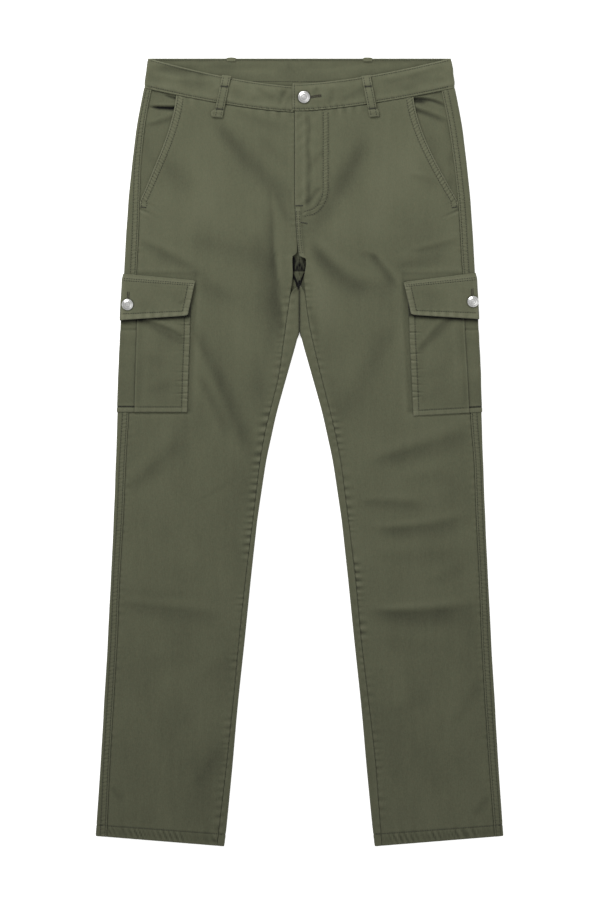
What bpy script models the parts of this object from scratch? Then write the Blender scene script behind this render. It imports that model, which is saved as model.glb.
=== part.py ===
"""Cargo pants laid flat on their back: +Y is the waist, +X the wearer's left, +Z up off the surface.

All sizes below are in millimetres. "down" is the distance below the top of the garment, measured
along the flat cloth, and x is measured from the centre line, outwards on each side. "right" and
"left" are the wearer's. Each piece that a maker cuts and sews on is one closed wall of cloth.
"""

import math
from collections import namedtuple

import bmesh
import bpy

MM = 0.001
LENGTH = 1064.5  # top of the belt loops to the lowest corner of the hem
GAP = 0.3  # between pieces that are sewn or lie together
WALL = 1.2  # twill with its seam allowances
BAND_WALL = 2.2  # waistband: two layers and an interlining
LOOP_WALL = 1.4  # belt loop
HEM_WALL = 2.2  # leg cloth turned up twice
SIDES = {"right": -1, "left": 1}
OLIVE = (0.118, 0.127, 0.079)
SILVER = (0.62, 0.62, 0.60)

# Stack of the waist, from the surface up: back loop, back band, button extension, front band.
WAIST_LIFT = LOOP_WALL + GAP
BAND_TOP = WAIST_LIFT + 3 * BAND_WALL + 2 * GAP
BACK_EDGE = 1.5  # down of the back band's top edge
CORNER_TOP = 204.5  # x of the band's folded corner, at its top edge
CORNER_LOW = 209.5  # and at its lower seam
CORNER_DROP = 41  # down of that seam at the corner
DIP_POWER = 1.5  # shape of the dip of the front waist
DIP_FADES_AT = 200  # the panels' sections are level from here down
Dip = namedtuple("Dip", "edge seam")  # down at the centre of the front band's top edge and seam
FRONT_DIP = {"right": Dip(39.8, 75), "left": Dip(35.8, 73)}
BAND_ROWS = (0, 0.5, 1)
BACK_BAND_SHARES = (0, 0.25, 0.5, 0.75, 0.93)
FRONT_BAND_XS = (180, 150, 120, 90, 60, 38, 24)
LAP_END = -9.5  # x of the left band's end, past the centre and over the right one
EXTENSION_FROM, EXTENSION_END = 12, -22  # the right band goes on under the left one

# The hip pocket's mouth slants from the waist seam to the side seam at its foot.
MOUTH_TOP = {"right": 166.5, "left": 154}
MOUTH_FOOT = 194
MOUTH_POWER = 1.3
FACING_UNDER_FRONT = 8
FACING_UNDER_SEAM = 5
FACING_FOOT = 188
FACING_SHARES = (0, 0.35, 0.7, 1)

# Cargo pocket: beside its sunk pleat the body stands off by the pleat's depth. The flap covers its
# top. Reach is how far each goes in from the side fold, at its top and foot.
PLEAT_DEPTH = 0.4
PLEAT_EDGE = 21
PLEAT_STEP = 1.2
BODY_OUT = GAP + PLEAT_DEPTH + WALL
FLAP_OUT = BODY_OUT + GAP + WALL
BODY_TOP, BODY_FOOT = 306, 479
BODY_REACH = (91, 92)
FLAP_TOP, FLAP_FOOT = 291, 353
FLAP_REACH = (95, 88)
FLAP_SLOPE = (12, -8)  # how much lower its inboard corners hang than its fold, at top and foot
FLAP_ROWS = (0, 0.25, 0.5, 0.75, 1)
REACH_BEHIND = 68  # of both, under the leg
PLATEAU = 74  # under the leg, the back is lifted level over the pocket this far from the fold
PLATEAU_END = 104

# The hem slopes: its inner corner hangs lower than its outer one.
HEM_SLOPE = 14
HEM_SLOPE_FROM = 900
HEM_TURN_UP = 15
LEG_END = LENGTH - HEM_SLOPE
HEM_SEAM = LEG_END - HEM_TURN_UP

# One row for each section across the body and leg. Outer and inner are the folded edges, and side
# and inseam the seams on the front of the wearer's right and left leg. Turn is how far the back
# panel curls up round the inner edge, 0 flat and 1 folded over. Top is the height of the front's
# outside, and lift the height of the back's outside, over a belt loop or the pocket.
COLUMNS = "down outer side_right side_left inseam_right inseam_left inner turn top lift"
Section = namedtuple("Section", COLUMNS)
SECTIONS = [
    Section(*row)
    for row in (
        (CORNER_DROP, CORNER_LOW, 199, 191, 6.5, -6.5, 0, 0, 8, WAIST_LIFT),
        (60, 213.5, 203, 195, 6.5, -6.5, 0, 0, 7.6, WAIST_LIFT),
        (80, 217.2, 206.5, 199, 6.5, -6.5, 0, 0, 7, 0.6),
        (104, 221, 210, 203, 6.5, -6.5, 0, 0, 6.4, 0),
        (148, 226.4, 214, 209, 6.5, -6.5, 0, 0, 6, 0),
        (194, 230.8, 215.5, 214, 6.5, -6.5, 0, 0, 6, 0),
        (230, 233.4, 216.5, 216.5, 4.5, -4.5, 0, 0, 6, 0),
        (262, 235.1, 218, 218, 2, -2, 0, 0, 6, 0),
        (290, 236.6, 219.5, 220, 8, 4.5, 0.4, 0.25, 6.3, FLAP_OUT),
        (304, 237.35, 220.3, 221, 10, 6.2, 0.5, 0.5, 6.3, FLAP_OUT),
        (318, 238.1, 221.2, 222, 12, 7.4, 0.6, 1, 6.3, FLAP_OUT),
        (354, 240, 223.5, 224, 17.4, 11.8, 0.6, 1, 6.3, FLAP_OUT),
        (376, 241.3, 225, 225.5, 20.4, 16.2, 1.4, 1, 6.3, BODY_OUT),
        (430, 243.8, 227.5, 228, 27.5, 29, 16.8, 1, 6.3, BODY_OUT),
        (479, 245.5, 230, 230.5, 40, 41.5, 30.6, 1, 6.3, BODY_OUT),
        (503, 246.2, 231.5, 232, 46, 47.5, 35.8, 1, 6, 0),
        (543, 247.6, 234, 235.5, 53, 55.6, 44.6, 1, 6, 0),
        (624, 250.6, 237.5, 238.5, 62.8, 66, 56.7, 1, 6, 0),
        (705, 254.6, 242.5, 242.8, 72.9, 75.9, 65.5, 1, 6, 0),
        (786, 258.5, 245.5, 245.5, 81.5, 83.2, 73.6, 1, 6, 0),
        (867, 263.3, 250.4, 250, 89, 93, 82.3, 1, 6, 0),
        (948, 268, 255.4, 255.4, 98, 102.8, 89.8, 1, 6, 0),
        (1020, 272.8, 258.6, 260.9, 107.3, 108.6, 97.4, 1, 6, 0),
        (HEM_SEAM, 273.8, 259.3, 262, 109.2, 110, 99.2, 1, 6, 0),
        (LEG_END, 275, 260, 263.5, 111, 111, 101.3, 1, 6, 0),
    )
]
CROTCH = 262
LONGEST_SPAN = 45  # sections further apart than this get others between them
FRONT_SHARES = (0, 0.06, 0.18, 0.3, 0.42, 0.54, 0.66, 0.78, 0.9, 1)
BACK_SHARES = (0.25, 0.5, 0.75)  # across the flat underside, from the pocket's slope inwards
FOLD_ANGLES = (90, 45, 0, -45, -90)  # round an outer fold, from the top to the underside
CURL_STEPS = 4
FLAT_TURN = 0.02  # what turn 0 is drawn as

# The front's largest folds, as soft troughs from one point to another.
Fold = namedtuple("Fold", "x down x_end down_end half_width depth")
FOLDS = [
    Fold(*row)
    for row in (
        (-69, 88, -10, 168, 17, 1.2),
        (-35, 232, -26, 375, 16, 1.6),
        (-141, 378, -84, 506, 17, 1.0),
        (-223, 580, -190, 540, 17, 1.0),
        (-237, 742, -105, 762, 19, 1.1),
        (-140, 960, -107, 934, 16, 1.0),
        (96, 108, 14, 206, 19, 1.3),
        (24, 258, 84, 306, 16, 1.7),
        (95, 274, 134, 306, 15, 1.0),
        (110, 518, 226, 526, 19, 1.2),
        (96, 598, 140, 606, 16, 1.0),
        (100, 748, 232, 742, 19, 1.1),
    )
]
FOLDS_CLEAR_OF_SIDE = 30  # folds die away over this distance, this far before the side seam

# Belt loops. The front ones slant outwards, from the band's top edge to below its seam, and bow off
# it: share of the length, and how far they stand off.
LOOP_HALF_WIDTH = 6
FrontLoop = namedtuple("FrontLoop", "x down x_foot down_foot")
FRONT_LOOPS = {"right": FrontLoop(98, 25, 110, 82), "left": FrontLoop(89.5, 25, 100.5, 81)}
LOOP_BOW = ((0, 0), (0.12, 0.8), (0.4, 1.4), (0.62, 0.8), (0.75, 0.2), (1, 0))
LOOP_LEAVES_BAND = 0.7
FRONT_UNDER_LOOP = 60  # the section that the loops' feet are sewn to
BACK_LOOP_X = 92
BACK_LOOP_FOOT = 55
BACK_LOOP_TAB = 6  # down of its end, turned over the band's top edge
BACK_LOOP_EDGE = BACK_EDGE - GAP  # thickness of that turned edge, which is the garment's top

# Buttons. The outline runs from the shank to the crown: share of the radius, and height.
Place = namedtuple("Place", "x down radius")
WAIST_BUTTON = Place(6.1, 53.3, 8.3)
CARGO_BUTTONS = {"right": Place(232.3, 333.6, 7.7), "left": Place(234.2, 329, 7.7)}
BUTTON_OUTLINE = ((0.45, 0), (0.45, 1), (0.94, 1), (1, 1.6), (0.94, 2.3), (0.6, 2.9), (0.2, 3.1))
BUTTON_SIDES = 24


def mix(a, b, share):
    return a + (b - a) * share


def ramp(value, start, end):
    return min(1, max(0, (value - start) / (end - start)))


def point(side, x, down, z):
    return (side * x * MM, (LENGTH / 2 - down) * MM, z * MM)


def section_at(down):
    """The section of the leg at any height, between those of the table."""
    for above, below in zip(SECTIONS, SECTIONS[1:]):
        if down <= below.down:
            break
    share = ramp(down, above.down, below.down)
    return Section(*(mix(a, b, share) for a, b in zip(above, below)))


def sections(top, foot):
    """The table's sections from top to foot, with others between those that are far apart."""
    downs = [top] + [row.down for row in SECTIONS if top < row.down < foot] + [foot]
    for a, b in zip(downs, downs[1:]):
        parts = math.ceil((b - a) / LONGEST_SPAN)
        for part in range(parts):
            yield section_at(mix(a, b, part / parts))
    yield section_at(foot)


def side_seam(name, section):
    return getattr(section, "side_" + name)


def inseam(name, section):
    return getattr(section, "inseam_" + name)


def mouth(name, section):
    """x of the front's outer edge: the pocket's mouth above its foot, and the side seam below."""
    share = ramp(section.down, CORNER_DROP, MOUTH_FOOT) ** MOUTH_POWER
    return mix(MOUTH_TOP[name], side_seam(name, section), share)


def waist_dip(x, at_centre, at_corner, corner):
    """down of an edge of the front waistband, which dips towards the centre."""
    return mix(at_centre, at_corner, min(1, abs(x) / corner) ** DIP_POWER)


def level(name, x, section, on_front=True):
    """down of a point of a section, which follows the waist's dip on the front and the hem's slope."""
    down = section.down
    across = 1 - ramp(x, SECTIONS[-1].inner, SECTIONS[-1].outer)
    down += HEM_SLOPE * across * ramp(section.down, HEM_SLOPE_FROM, LEG_END)
    if on_front:
        dip = waist_dip(x, FRONT_DIP[name].seam, CORNER_DROP, CORNER_LOW) - CORNER_DROP
        down += dip * (1 - ramp(section.down, CORNER_DROP, DIP_FADES_AT))
    return down + GAP / 2 * (section.down == CORNER_DROP)


def leg_wall(section):
    return mix(WALL, HEM_WALL, ramp(section.down, SECTIONS[-3].down, HEM_SEAM))


def back_lift(section, x):
    """Height of the back's outside: the same all across above the crotch, a plateau below it."""
    if section.down <= CROTCH:
        return section.lift
    return section.lift * (1 - ramp(section.outer - x, PLATEAU, PLATEAU_END))


def fold_depth(x, down, clear):
    """How far the front sinks at a point that is clear of the side seam by that much."""
    depth = 0
    for fold in FOLDS:
        run_x, run_down = fold.x_end - fold.x, fold.down_end - fold.down
        along = ((x - fold.x) * run_x + (down - fold.down) * run_down) / (run_x**2 + run_down**2)
        along = min(1, max(0, along))
        away = math.hypot(x - fold.x - along * run_x, down - fold.down - along * run_down)
        depth = max(depth, fold.depth * math.exp(-((away / fold.half_width) ** 2)))
    return depth * ramp(clear, FOLDS_CLEAR_OF_SIDE, 2 * FOLDS_CLEAR_OF_SIDE)


def material(name, colour, roughness, metallic):
    made = bpy.data.materials.new(name)
    made.use_nodes = True
    shader = made.node_tree.nodes["Principled BSDF"]
    shader.inputs["Base Color"].default_value = (*colour, 1)
    shader.inputs["Roughness"].default_value = roughness
    shader.inputs["Metallic"].default_value = metallic
    made.diffuse_color = (*colour, 1)
    return made


def add_object(name, bm, colour, roughness, metallic):
    bmesh.ops.recalc_face_normals(bm, faces=bm.faces)
    mesh = bpy.data.meshes.new(name)
    bm.to_mesh(mesh)
    bm.free()
    mesh.shade_smooth()
    mesh.set_sharp_from_angle(angle=math.radians(40))
    mesh.materials.append(material(name, colour, roughness, metallic))
    bpy.context.scene.collection.objects.link(bpy.data.objects.new(name, mesh))


def add_cloth(name, outside, inside):
    """A closed wall between two grids of points, which have the same rows and columns."""
    bm = bmesh.new()
    grids = [[[bm.verts.new(co) for co in row] for row in grid] for grid in (outside, inside)]
    rows, columns = len(outside), len(outside[0])
    for grid in grids:
        for i in range(rows - 1):
            for j in range(columns - 1):
                bm.faces.new((grid[i][j], grid[i][j + 1], grid[i + 1][j + 1], grid[i + 1][j]))
    rim = [(0, j) for j in range(columns)]
    rim += [(i, columns - 1) for i in range(1, rows)]
    rim += [(rows - 1, j) for j in range(columns - 2, -1, -1)]
    rim += [(i, 0) for i in range(rows - 2, 0, -1)]
    for (i, j), (k, m) in zip(rim, rim[1:] + rim[:1]):
        bm.faces.new((grids[0][i][j], grids[0][k][m], grids[1][k][m], grids[1][i][j]))
    add_object(name, bm, OLIVE, 0.85, 0)


def round_fold(outer, top, lift, out):
    """x and z round a folded edge, from the top to the underside, standing "out" off the cloth."""
    radius = (top - lift) / 2
    for angle in map(math.radians, FOLD_ANGLES):
        x = outer - radius + (radius + out) * math.cos(angle)
        yield x, lift + radius + (radius + out) * math.sin(angle)


def add_front(name, side):
    """Front panel: from the centre or the inseam to the pocket's mouth or the side seam."""
    outside, inside = [], []
    for section in sections(CORNER_DROP, LEG_END):
        start, end = inseam(name, section) + GAP / 2, mouth(name, section) - GAP / 2
        xs = [mix(start, end, share) for share in FRONT_SHARES]
        downs = [level(name, x, section) for x in xs]
        tops = [section.top - fold_depth(side * x, down, end - x) for x, down in zip(xs, downs)]
        outside.append([point(side, *place) for place in zip(xs, downs, tops)])
        lows = [top - leg_wall(section) for top in tops]
        inside.append([point(side, *place) for place in zip(xs, downs, lows)])
    add_cloth("front_" + name, outside, inside)


def curl(name, section, wall):
    """The back panel's inner edge, from flat to folded over: outside and inside points, x and z."""
    rise = section.lift if section.down <= CROTCH else 0
    radius = section.top / 2
    angle = math.pi * max(section.turn, FLAT_TURN)
    bend = math.pi * radius / angle
    start = section.inner + GAP / 2 + bend * math.sin(min(angle, math.pi / 2))
    folded = section.turn == 1
    steps = CURL_STEPS if folded else CURL_STEPS + 1
    for a in (angle * step / steps for step in range(steps + 1)):
        outside = (start - bend * math.sin(a), rise + bend - bend * math.cos(a))
        inside = (start - (bend - wall) * math.sin(a), rise + bend - (bend - wall) * math.cos(a))
        yield outside, inside
    if folded:
        lip = inseam(name, section) - GAP / 2
        yield (lip, section.top), (lip, section.top - wall)


def add_back(name, side):
    """Back panel: flat underneath, folded up round both edges as far as the front's seams."""
    outside, inside = [], []
    on_front = 1 + FOLD_ANGLES.index(0)
    for section in sections(CORNER_DROP, LEG_END):
        wall = leg_wall(section)
        lift = back_lift(section, section.outer)
        seam = side_seam(name, section) + GAP / 2
        curled = list(curl(name, section, wall))
        slope_end = section.outer - PLATEAU_END
        flat = [section.outer - PLATEAU / 2, section.outer - PLATEAU, slope_end]
        flat += [mix(slope_end, curled[0][0][0], share) for share in BACK_SHARES]

        outer_path = [(seam, section.top), *round_fold(section.outer, section.top, lift, 0)]
        outer_path += [(x, back_lift(section, x)) for x in flat] + [pair[0] for pair in curled]
        inner_path = [(seam, section.top - wall), *round_fold(section.outer, section.top, lift, -wall)]
        inner_path += [(x, back_lift(section, x) + wall) for x in flat] + [pair[1] for pair in curled]
        for path, grid in ((outer_path, outside), (inner_path, inside)):
            downs = [level(name, x, section, j <= on_front) for j, (x, _) in enumerate(path)]
            grid.append([point(side, x, down, z) for (x, z), down in zip(path, downs)])
    add_cloth("back_" + name, outside, inside)


def band_path(name, corner, wall):
    """Half the waistband from the centre of the back, round its corner and along the front."""
    path = [(mix(GAP / 2, corner, share), WAIST_LIFT + wall) for share in BACK_BAND_SHARES]
    path += reversed(list(round_fold(corner, BAND_TOP, WAIST_LIFT, -wall)))
    path += [(x, BAND_TOP - wall) for x in FRONT_BAND_XS]
    if name == "left":
        return path + [(LAP_END, BAND_TOP - wall)]
    under = BAND_TOP - BAND_WALL - GAP - wall
    return path + [(EXTENSION_FROM, under), (EXTENSION_END, under)]


def add_waistband(name, side):
    """Half the waistband. The left end laps over the right, which goes on under it."""
    dip = FRONT_DIP[name]
    on_front = len(BACK_BAND_SHARES) + FOLD_ANGLES.index(0)
    outside, inside = [], []
    for share in BAND_ROWS:
        corner = mix(CORNER_TOP, CORNER_LOW, share)
        for grid, wall in ((outside, 0), (inside, BAND_WALL)):
            row = []
            for j, (x, z) in enumerate(band_path(name, corner, wall)):
                edge, seam = BACK_EDGE, CORNER_DROP
                if j >= on_front:
                    edge = waist_dip(x, dip.edge, BACK_EDGE, CORNER_TOP)
                    seam = waist_dip(x, dip.seam, CORNER_DROP, CORNER_LOW)
                row.append(point(side, x, mix(edge, seam - GAP / 2, share), z))
            grid.append(row)
    add_cloth("waistband_" + name, outside, inside)


def add_facing(name, side):
    """Hip pocket facing: behind the mouth, from under the front's edge to under the side seam."""
    outside, inside = [], []
    for section in sections(CORNER_DROP, FACING_FOOT):
        start = mouth(name, section) - FACING_UNDER_FRONT
        end = side_seam(name, section) + FACING_UNDER_SEAM
        high = section.top - WALL - GAP
        for grid, z in ((outside, high), (inside, high - WALL)):
            xs = [mix(start, end, share) for share in FACING_SHARES]
            grid.append([point(side, x, level(name, x, section), z) for x in xs])
    add_cloth("hip_pocket_facing_" + name, outside, inside)


def wrapped(section, in_front, behind, stand_off):
    """Path on the leg from its front round the side fold to its back: x and z, standing off it.

    The distances in_front and behind are from the fold's ends, and stand_off takes them, those
    behind as negative.
    """
    lift = back_lift(section, section.outer)
    fold_end = section.outer - (section.top - lift) / 2
    path = [(fold_end - x, section.top + stand_off(x)) for x in in_front]
    path += round_fold(section.outer, section.top, lift, stand_off(0))
    return path + [(fold_end - x, lift - stand_off(-x)) for x in behind]


def add_cargo_pocket(name, side):
    """Cargo pocket body, with a pleat sunk along the side seam."""
    outside, inside = [], []
    behind = (PLEAT_STEP, REACH_BEHIND / 2, REACH_BEHIND)
    for section in sections(BODY_TOP, BODY_FOOT):
        reach = mix(*BODY_REACH, ramp(section.down, BODY_TOP, BODY_FOOT))
        in_front = (reach, reach / 2, PLEAT_EDGE + PLEAT_STEP, PLEAT_EDGE)
        for grid, wall in ((outside, WALL), (inside, 0)):

            def stand_off(x):
                sunk = -PLEAT_STEP < x <= PLEAT_EDGE
                return wall + GAP + (0 if sunk else PLEAT_DEPTH)

            path = wrapped(section, in_front, behind, stand_off)
            grid.append([point(side, x, section.down, z) for x, z in path])
    add_cloth("cargo_pocket_" + name, outside, inside)


def add_cargo_flap(name, side):
    """Flap over the pocket's top: its inboard ends taper and hang aslant."""
    outside, inside = [], []
    for share in FLAP_ROWS:
        section = section_at(mix(FLAP_TOP, FLAP_FOOT, share))
        reach = mix(*FLAP_REACH, share)
        behind = (REACH_BEHIND / 2, reach - FLAP_REACH[0] + REACH_BEHIND)
        for grid, out in ((outside, FLAP_OUT), (inside, FLAP_OUT - WALL)):
            row = []
            for x, z in wrapped(section, (reach, reach * 2 / 3, reach / 3), behind, lambda x: out):
                inboard = ramp(section.outer - x, 0, FLAP_REACH[0])
                row.append(point(side, x, section.down + mix(*FLAP_SLOPE, share) * inboard, z))
            grid.append(row)
    add_cloth("cargo_flap_" + name, outside, inside)


def add_strip(name, x_at, path):
    """A loop's strip: each step of the path is a share of its run, then (down, z) below and above."""
    grids = ([], [])
    for share, *ends in path:
        for grid, (down, z) in zip(grids, ends):
            edges = (x_at(share) - LOOP_HALF_WIDTH, x_at(share) + LOOP_HALF_WIDTH)
            grid.append([point(1, x, down, z) for x in edges])
    add_cloth(name, *grids)


def add_front_loop(name, side):
    """Front belt loop, bowed over the waistband and sewn to the panel below its seam."""
    loop = FRONT_LOOPS[name]
    path = []
    for share, stand_off in LOOP_BOW:
        below = mix(BAND_TOP, section_at(FRONT_UNDER_LOOP).top, ramp(share, LOOP_LEAVES_BAND, 1))
        z = below + GAP + stand_off
        down = mix(loop.down, loop.down_foot, share)
        path.append((share, (down, z), (down, z + LOOP_WALL)))
    add_strip("belt_loop_front_" + name, lambda share: side * mix(loop.x, loop.x_foot, share), path)


def add_back_loop(name, side):
    """Back belt loop: under the back band, and turned over its top edge."""
    over = WAIST_LIFT + BAND_WALL + GAP
    top = BACK_EDGE - GAP
    path = (
        (0, (BACK_LOOP_FOOT, 0), (BACK_LOOP_FOOT, LOOP_WALL)),
        (0, (top - BACK_LOOP_EDGE, 0), (top, LOOP_WALL)),
        (0, (top - BACK_LOOP_EDGE, over + LOOP_WALL), (top, over)),
        (0, (BACK_LOOP_TAB, over + LOOP_WALL), (BACK_LOOP_TAB, over)),
    )
    add_strip("belt_loop_back_" + name, lambda share: side * BACK_LOOP_X, path)


def add_button(name, side, place, z):
    """Domed metal button on its shank, turned about +Z."""
    bm = bmesh.new()
    turns = [math.tau * k / BUTTON_SIDES for k in range(BUTTON_SIDES)]
    rings = []
    for share, height in BUTTON_OUTLINE:
        reach = share * place.radius
        around = [(side * place.x + reach * math.cos(a), place.down + reach * math.sin(a)) for a in turns]
        rings.append([bm.verts.new(point(1, x, down, z + height)) for x, down in around])
    for low, high in zip(rings, rings[1:]):
        for k in range(BUTTON_SIDES):
            after = (k + 1) % BUTTON_SIDES
            bm.faces.new((low[k], low[after], high[after], high[k]))
    bm.faces.new(rings[0])
    bm.faces.new(rings[-1])
    add_object(name, bm, SILVER, 0.3, 1)


for old in list(bpy.data.objects):
    bpy.data.objects.remove(old)
for side_name, side_sign in SIDES.items():
    add_front(side_name, side_sign)
    add_back(side_name, side_sign)
    add_waistband(side_name, side_sign)
    add_facing(side_name, side_sign)
    add_cargo_pocket(side_name, side_sign)
    add_cargo_flap(side_name, side_sign)
    add_front_loop(side_name, side_sign)
    add_back_loop(side_name, side_sign)
    flap_height = section_at(CARGO_BUTTONS[side_name].down).top + FLAP_OUT
    add_button("cargo_button_" + side_name, side_sign, CARGO_BUTTONS[side_name], flap_height + GAP)
add_button("waist_button", SIDES["left"], WAIST_BUTTON, BAND_TOP + GAP)
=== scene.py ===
"""Looks of cargo pants that lie flat on their back: +Y is the waist, +X the wearer's left, +Z up.

Sizes are in millimetres. "down" is the distance below the top of the garment and x the distance from
its centre line, outwards on each side. "right" and "left" are the wearer's. The solids' own sections
are repeated here. Each cloth piece is a grid of points on them, with its seams and creases as relief
along the cloth's normal, closed into a thin shell. Threads are small meshes laid on the shells.
"""

import math
from collections import namedtuple

import bpy
import numpy as np
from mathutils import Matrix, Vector
from mathutils.bvhtree import BVHTree


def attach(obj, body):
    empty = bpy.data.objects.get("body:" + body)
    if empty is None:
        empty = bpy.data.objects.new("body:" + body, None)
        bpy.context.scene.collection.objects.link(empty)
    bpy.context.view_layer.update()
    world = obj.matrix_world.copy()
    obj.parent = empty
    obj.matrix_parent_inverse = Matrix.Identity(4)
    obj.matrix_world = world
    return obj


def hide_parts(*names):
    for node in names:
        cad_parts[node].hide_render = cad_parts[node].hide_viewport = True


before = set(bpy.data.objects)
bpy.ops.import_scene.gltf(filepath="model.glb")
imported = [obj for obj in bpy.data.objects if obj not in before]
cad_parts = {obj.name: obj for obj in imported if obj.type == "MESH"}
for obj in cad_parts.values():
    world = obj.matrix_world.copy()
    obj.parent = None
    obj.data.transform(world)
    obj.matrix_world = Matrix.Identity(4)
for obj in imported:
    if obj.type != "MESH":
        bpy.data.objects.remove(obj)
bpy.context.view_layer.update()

MM = 0.001
LENGTH = 1064.5
GAP = 0.3
WALL = 1.2
BAND_WALL = 2.2
LOOP_WALL = 1.4
HEM_WALL = 2.2
SIDES = {"right": -1, "left": 1}

BAND_WIDTH = 36
WAIST_LIFT = LOOP_WALL + GAP
BAND_TOP = WAIST_LIFT + 3 * BAND_WALL + 2 * GAP
BACK_EDGE = 1.5
CORNER_TOP = 204.5
CORNER_LOW = 209.5
CORNER_DROP = 41
DIP_POWER = 1.5
DIP_FADES_AT = 200
Dip = namedtuple("Dip", "edge seam")
FRONT_DIP = {"right": Dip(39.8, 75), "left": Dip(35.8, 73)}
LAP_END = -9.5
EXTENSION_FROM, EXTENSION_END = 12, -22
EXTENSION_SINKS_FROM = 26

MOUTH_TOP = {"right": 166.5, "left": 154}
MOUTH_FOOT = 194
MOUTH_POWER = 1.3
MOUTH_SLANT = 0.95  # how much nearer the mouth is squarely than along x
FACING_UNDER_FRONT = 8
FACING_UNDER_SEAM = 5

BODY_TOP, BODY_FOOT = 306, 479
BODY_REACH = {"right": (91, 92), "left": (91, 90)}  # from the fold at top and foot
BODY_DROP = {"right": 0, "left": 5}  # how far the foot slopes down towards its inboard corner
PLEAT = {"right": (18.5, 20.5), "left": (16.8, 14)}  # its distance from the fold at top and foot
FLAP_TOP, FLAP_FOOT = 291, 353
FLAP_REACH = (95, 88)  # from the fold at top and foot
Flap = namedtuple("Flap", "top foot top_slope foot_slope")
FLAPS = {"right": Flap(292, 355, 9, -6.4), "left": Flap(291, 353.5, 12, -6)}
REACH_BEHIND = 68
BODY_OUT = 1.9
FLAP_OUT = 3.4
PLATEAU, PLATEAU_END = 74, 104  # how far in from its outer edge a leg is lifted by what is under it

HEM_SLOPE = 14
HEM_SLOPE_FROM = 900
LEG_END = LENGTH - HEM_SLOPE
HEM_SEAM = LEG_END - 15
HEM_WALL_FROM = 1015
HEM_INNER, HEM_OUTER = 101.3, 275
CROTCH = 262
FLY_END = 199
CROTCH_OPENING = {"right": (5.6, 2), "left": (8.2, 6)}  # how far it gapes, and where that starts
LEGS_TOUCH = 0.08  # how far the legs' inner edges close up below the crotch
LEGS_PART = 369
FLAT_TURN = 0.02
FAR = 99.0
BAND_FOLD_COLUMNS = 12
FOLD_COLUMNS = 11

# Sections of a leg: "down" along it, the x of its outer fold, of both sides' side seams and inseams and
# of its inner edge, how far that edge is curled (1 is a half turn), and the leg's top and underside.
COLUMNS = "down outer side_right side_left inseam_right inseam_left inner turn top lift".split()
SECTIONS = np.array(
    [
        (41, 209.5, 199, 191, 6.5, -6.5, 0, 0, 8, WAIST_LIFT),
        (60, 213.5, 203, 195, 6.5, -6.5, 0, 0, 7.6, WAIST_LIFT),
        (80, 217.2, 206.5, 199, 6.5, -6.5, 0, 0, 7, 0.6),
        (104, 221, 210, 203, 6.5, -6.5, 0, 0, 6.4, 0),
        (148, 226.4, 214, 209, 6.5, -6.5, 0, 0, 6, 0),
        (194, 230.8, 215.5, 214, 6.5, -6.5, 0, 0, 6, 0),
        (230, 233.4, 216.5, 216.5, 4.5, -4.5, 0, 0, 6, 0),
        (262, 235.1, 218, 218, 2, -2, 0, 0, 6, 0),
        (290, 236.6, 219.5, 220, 8, 4.5, 0.4, 0.25, 6.3, FLAP_OUT),
        (304, 237.35, 220.3, 221, 10, 6.2, 0.5, 0.5, 6.3, FLAP_OUT),
        (318, 238.1, 221.2, 222, 12, 7.4, 0.6, 1, 6.3, FLAP_OUT),
        (354, 240, 223.5, 224, 17.4, 11.8, 0.6, 1, 6.3, FLAP_OUT),
        (376, 241.3, 225, 225.5, 20.4, 16.2, 1.4, 1, 6.3, BODY_OUT),
        (430, 243.8, 227.5, 228, 27.5, 29, 16.8, 1, 6.3, BODY_OUT),
        (479, 245.5, 230, 230.5, 40, 41.5, 30.6, 1, 6.3, BODY_OUT),
        (503, 246.2, 231.5, 232, 46, 47.5, 35.8, 1, 6, 0),
        (543, 247.6, 234, 235.5, 53, 55.6, 44.6, 1, 6, 0),
        (624, 250.6, 237.5, 238.5, 62.8, 66, 56.7, 1, 6, 0),
        (705, 254.6, 242.5, 242.8, 72.9, 75.9, 65.5, 1, 6, 0),
        (786, 258.5, 245.5, 245.5, 81.5, 83.2, 73.6, 1, 6, 0),
        (867, 263.3, 250.4, 250, 89, 93, 82.3, 1, 6, 0),
        (948, 268, 255.4, 255.4, 98, 102.8, 89.8, 1, 6, 0),
        (1020, 272.8, 258.6, 260.9, 107.3, 108.6, 97.4, 1, 6, 0),
        (HEM_SEAM, 273.8, 259.3, 262, 109.2, 110, 99.2, 1, 6, 0),
        (LEG_END, HEM_OUTER, 260, 263.5, 111, 111, HEM_INNER, 1, 6, 0),
    ]
)
SMOOTHED_OVER = {"turn": 4, "top": 8, "lift": 0}  # millimetres
SMOOTHED_OTHERS_OVER = 9

# Creases, with x signed: troughs that bow sideways by "bow" halfway. "sharp" from -1 to 1 says which
# bank is steep: the positive side's or the other. That side is below a crease that goes towards +X,
# and towards -X of one that goes down.
Crease = namedtuple("Crease", "x down x_end down_end bow half_width depth sharp")


def creases(*rows):
    return [Crease(*row) for row in rows]


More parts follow.
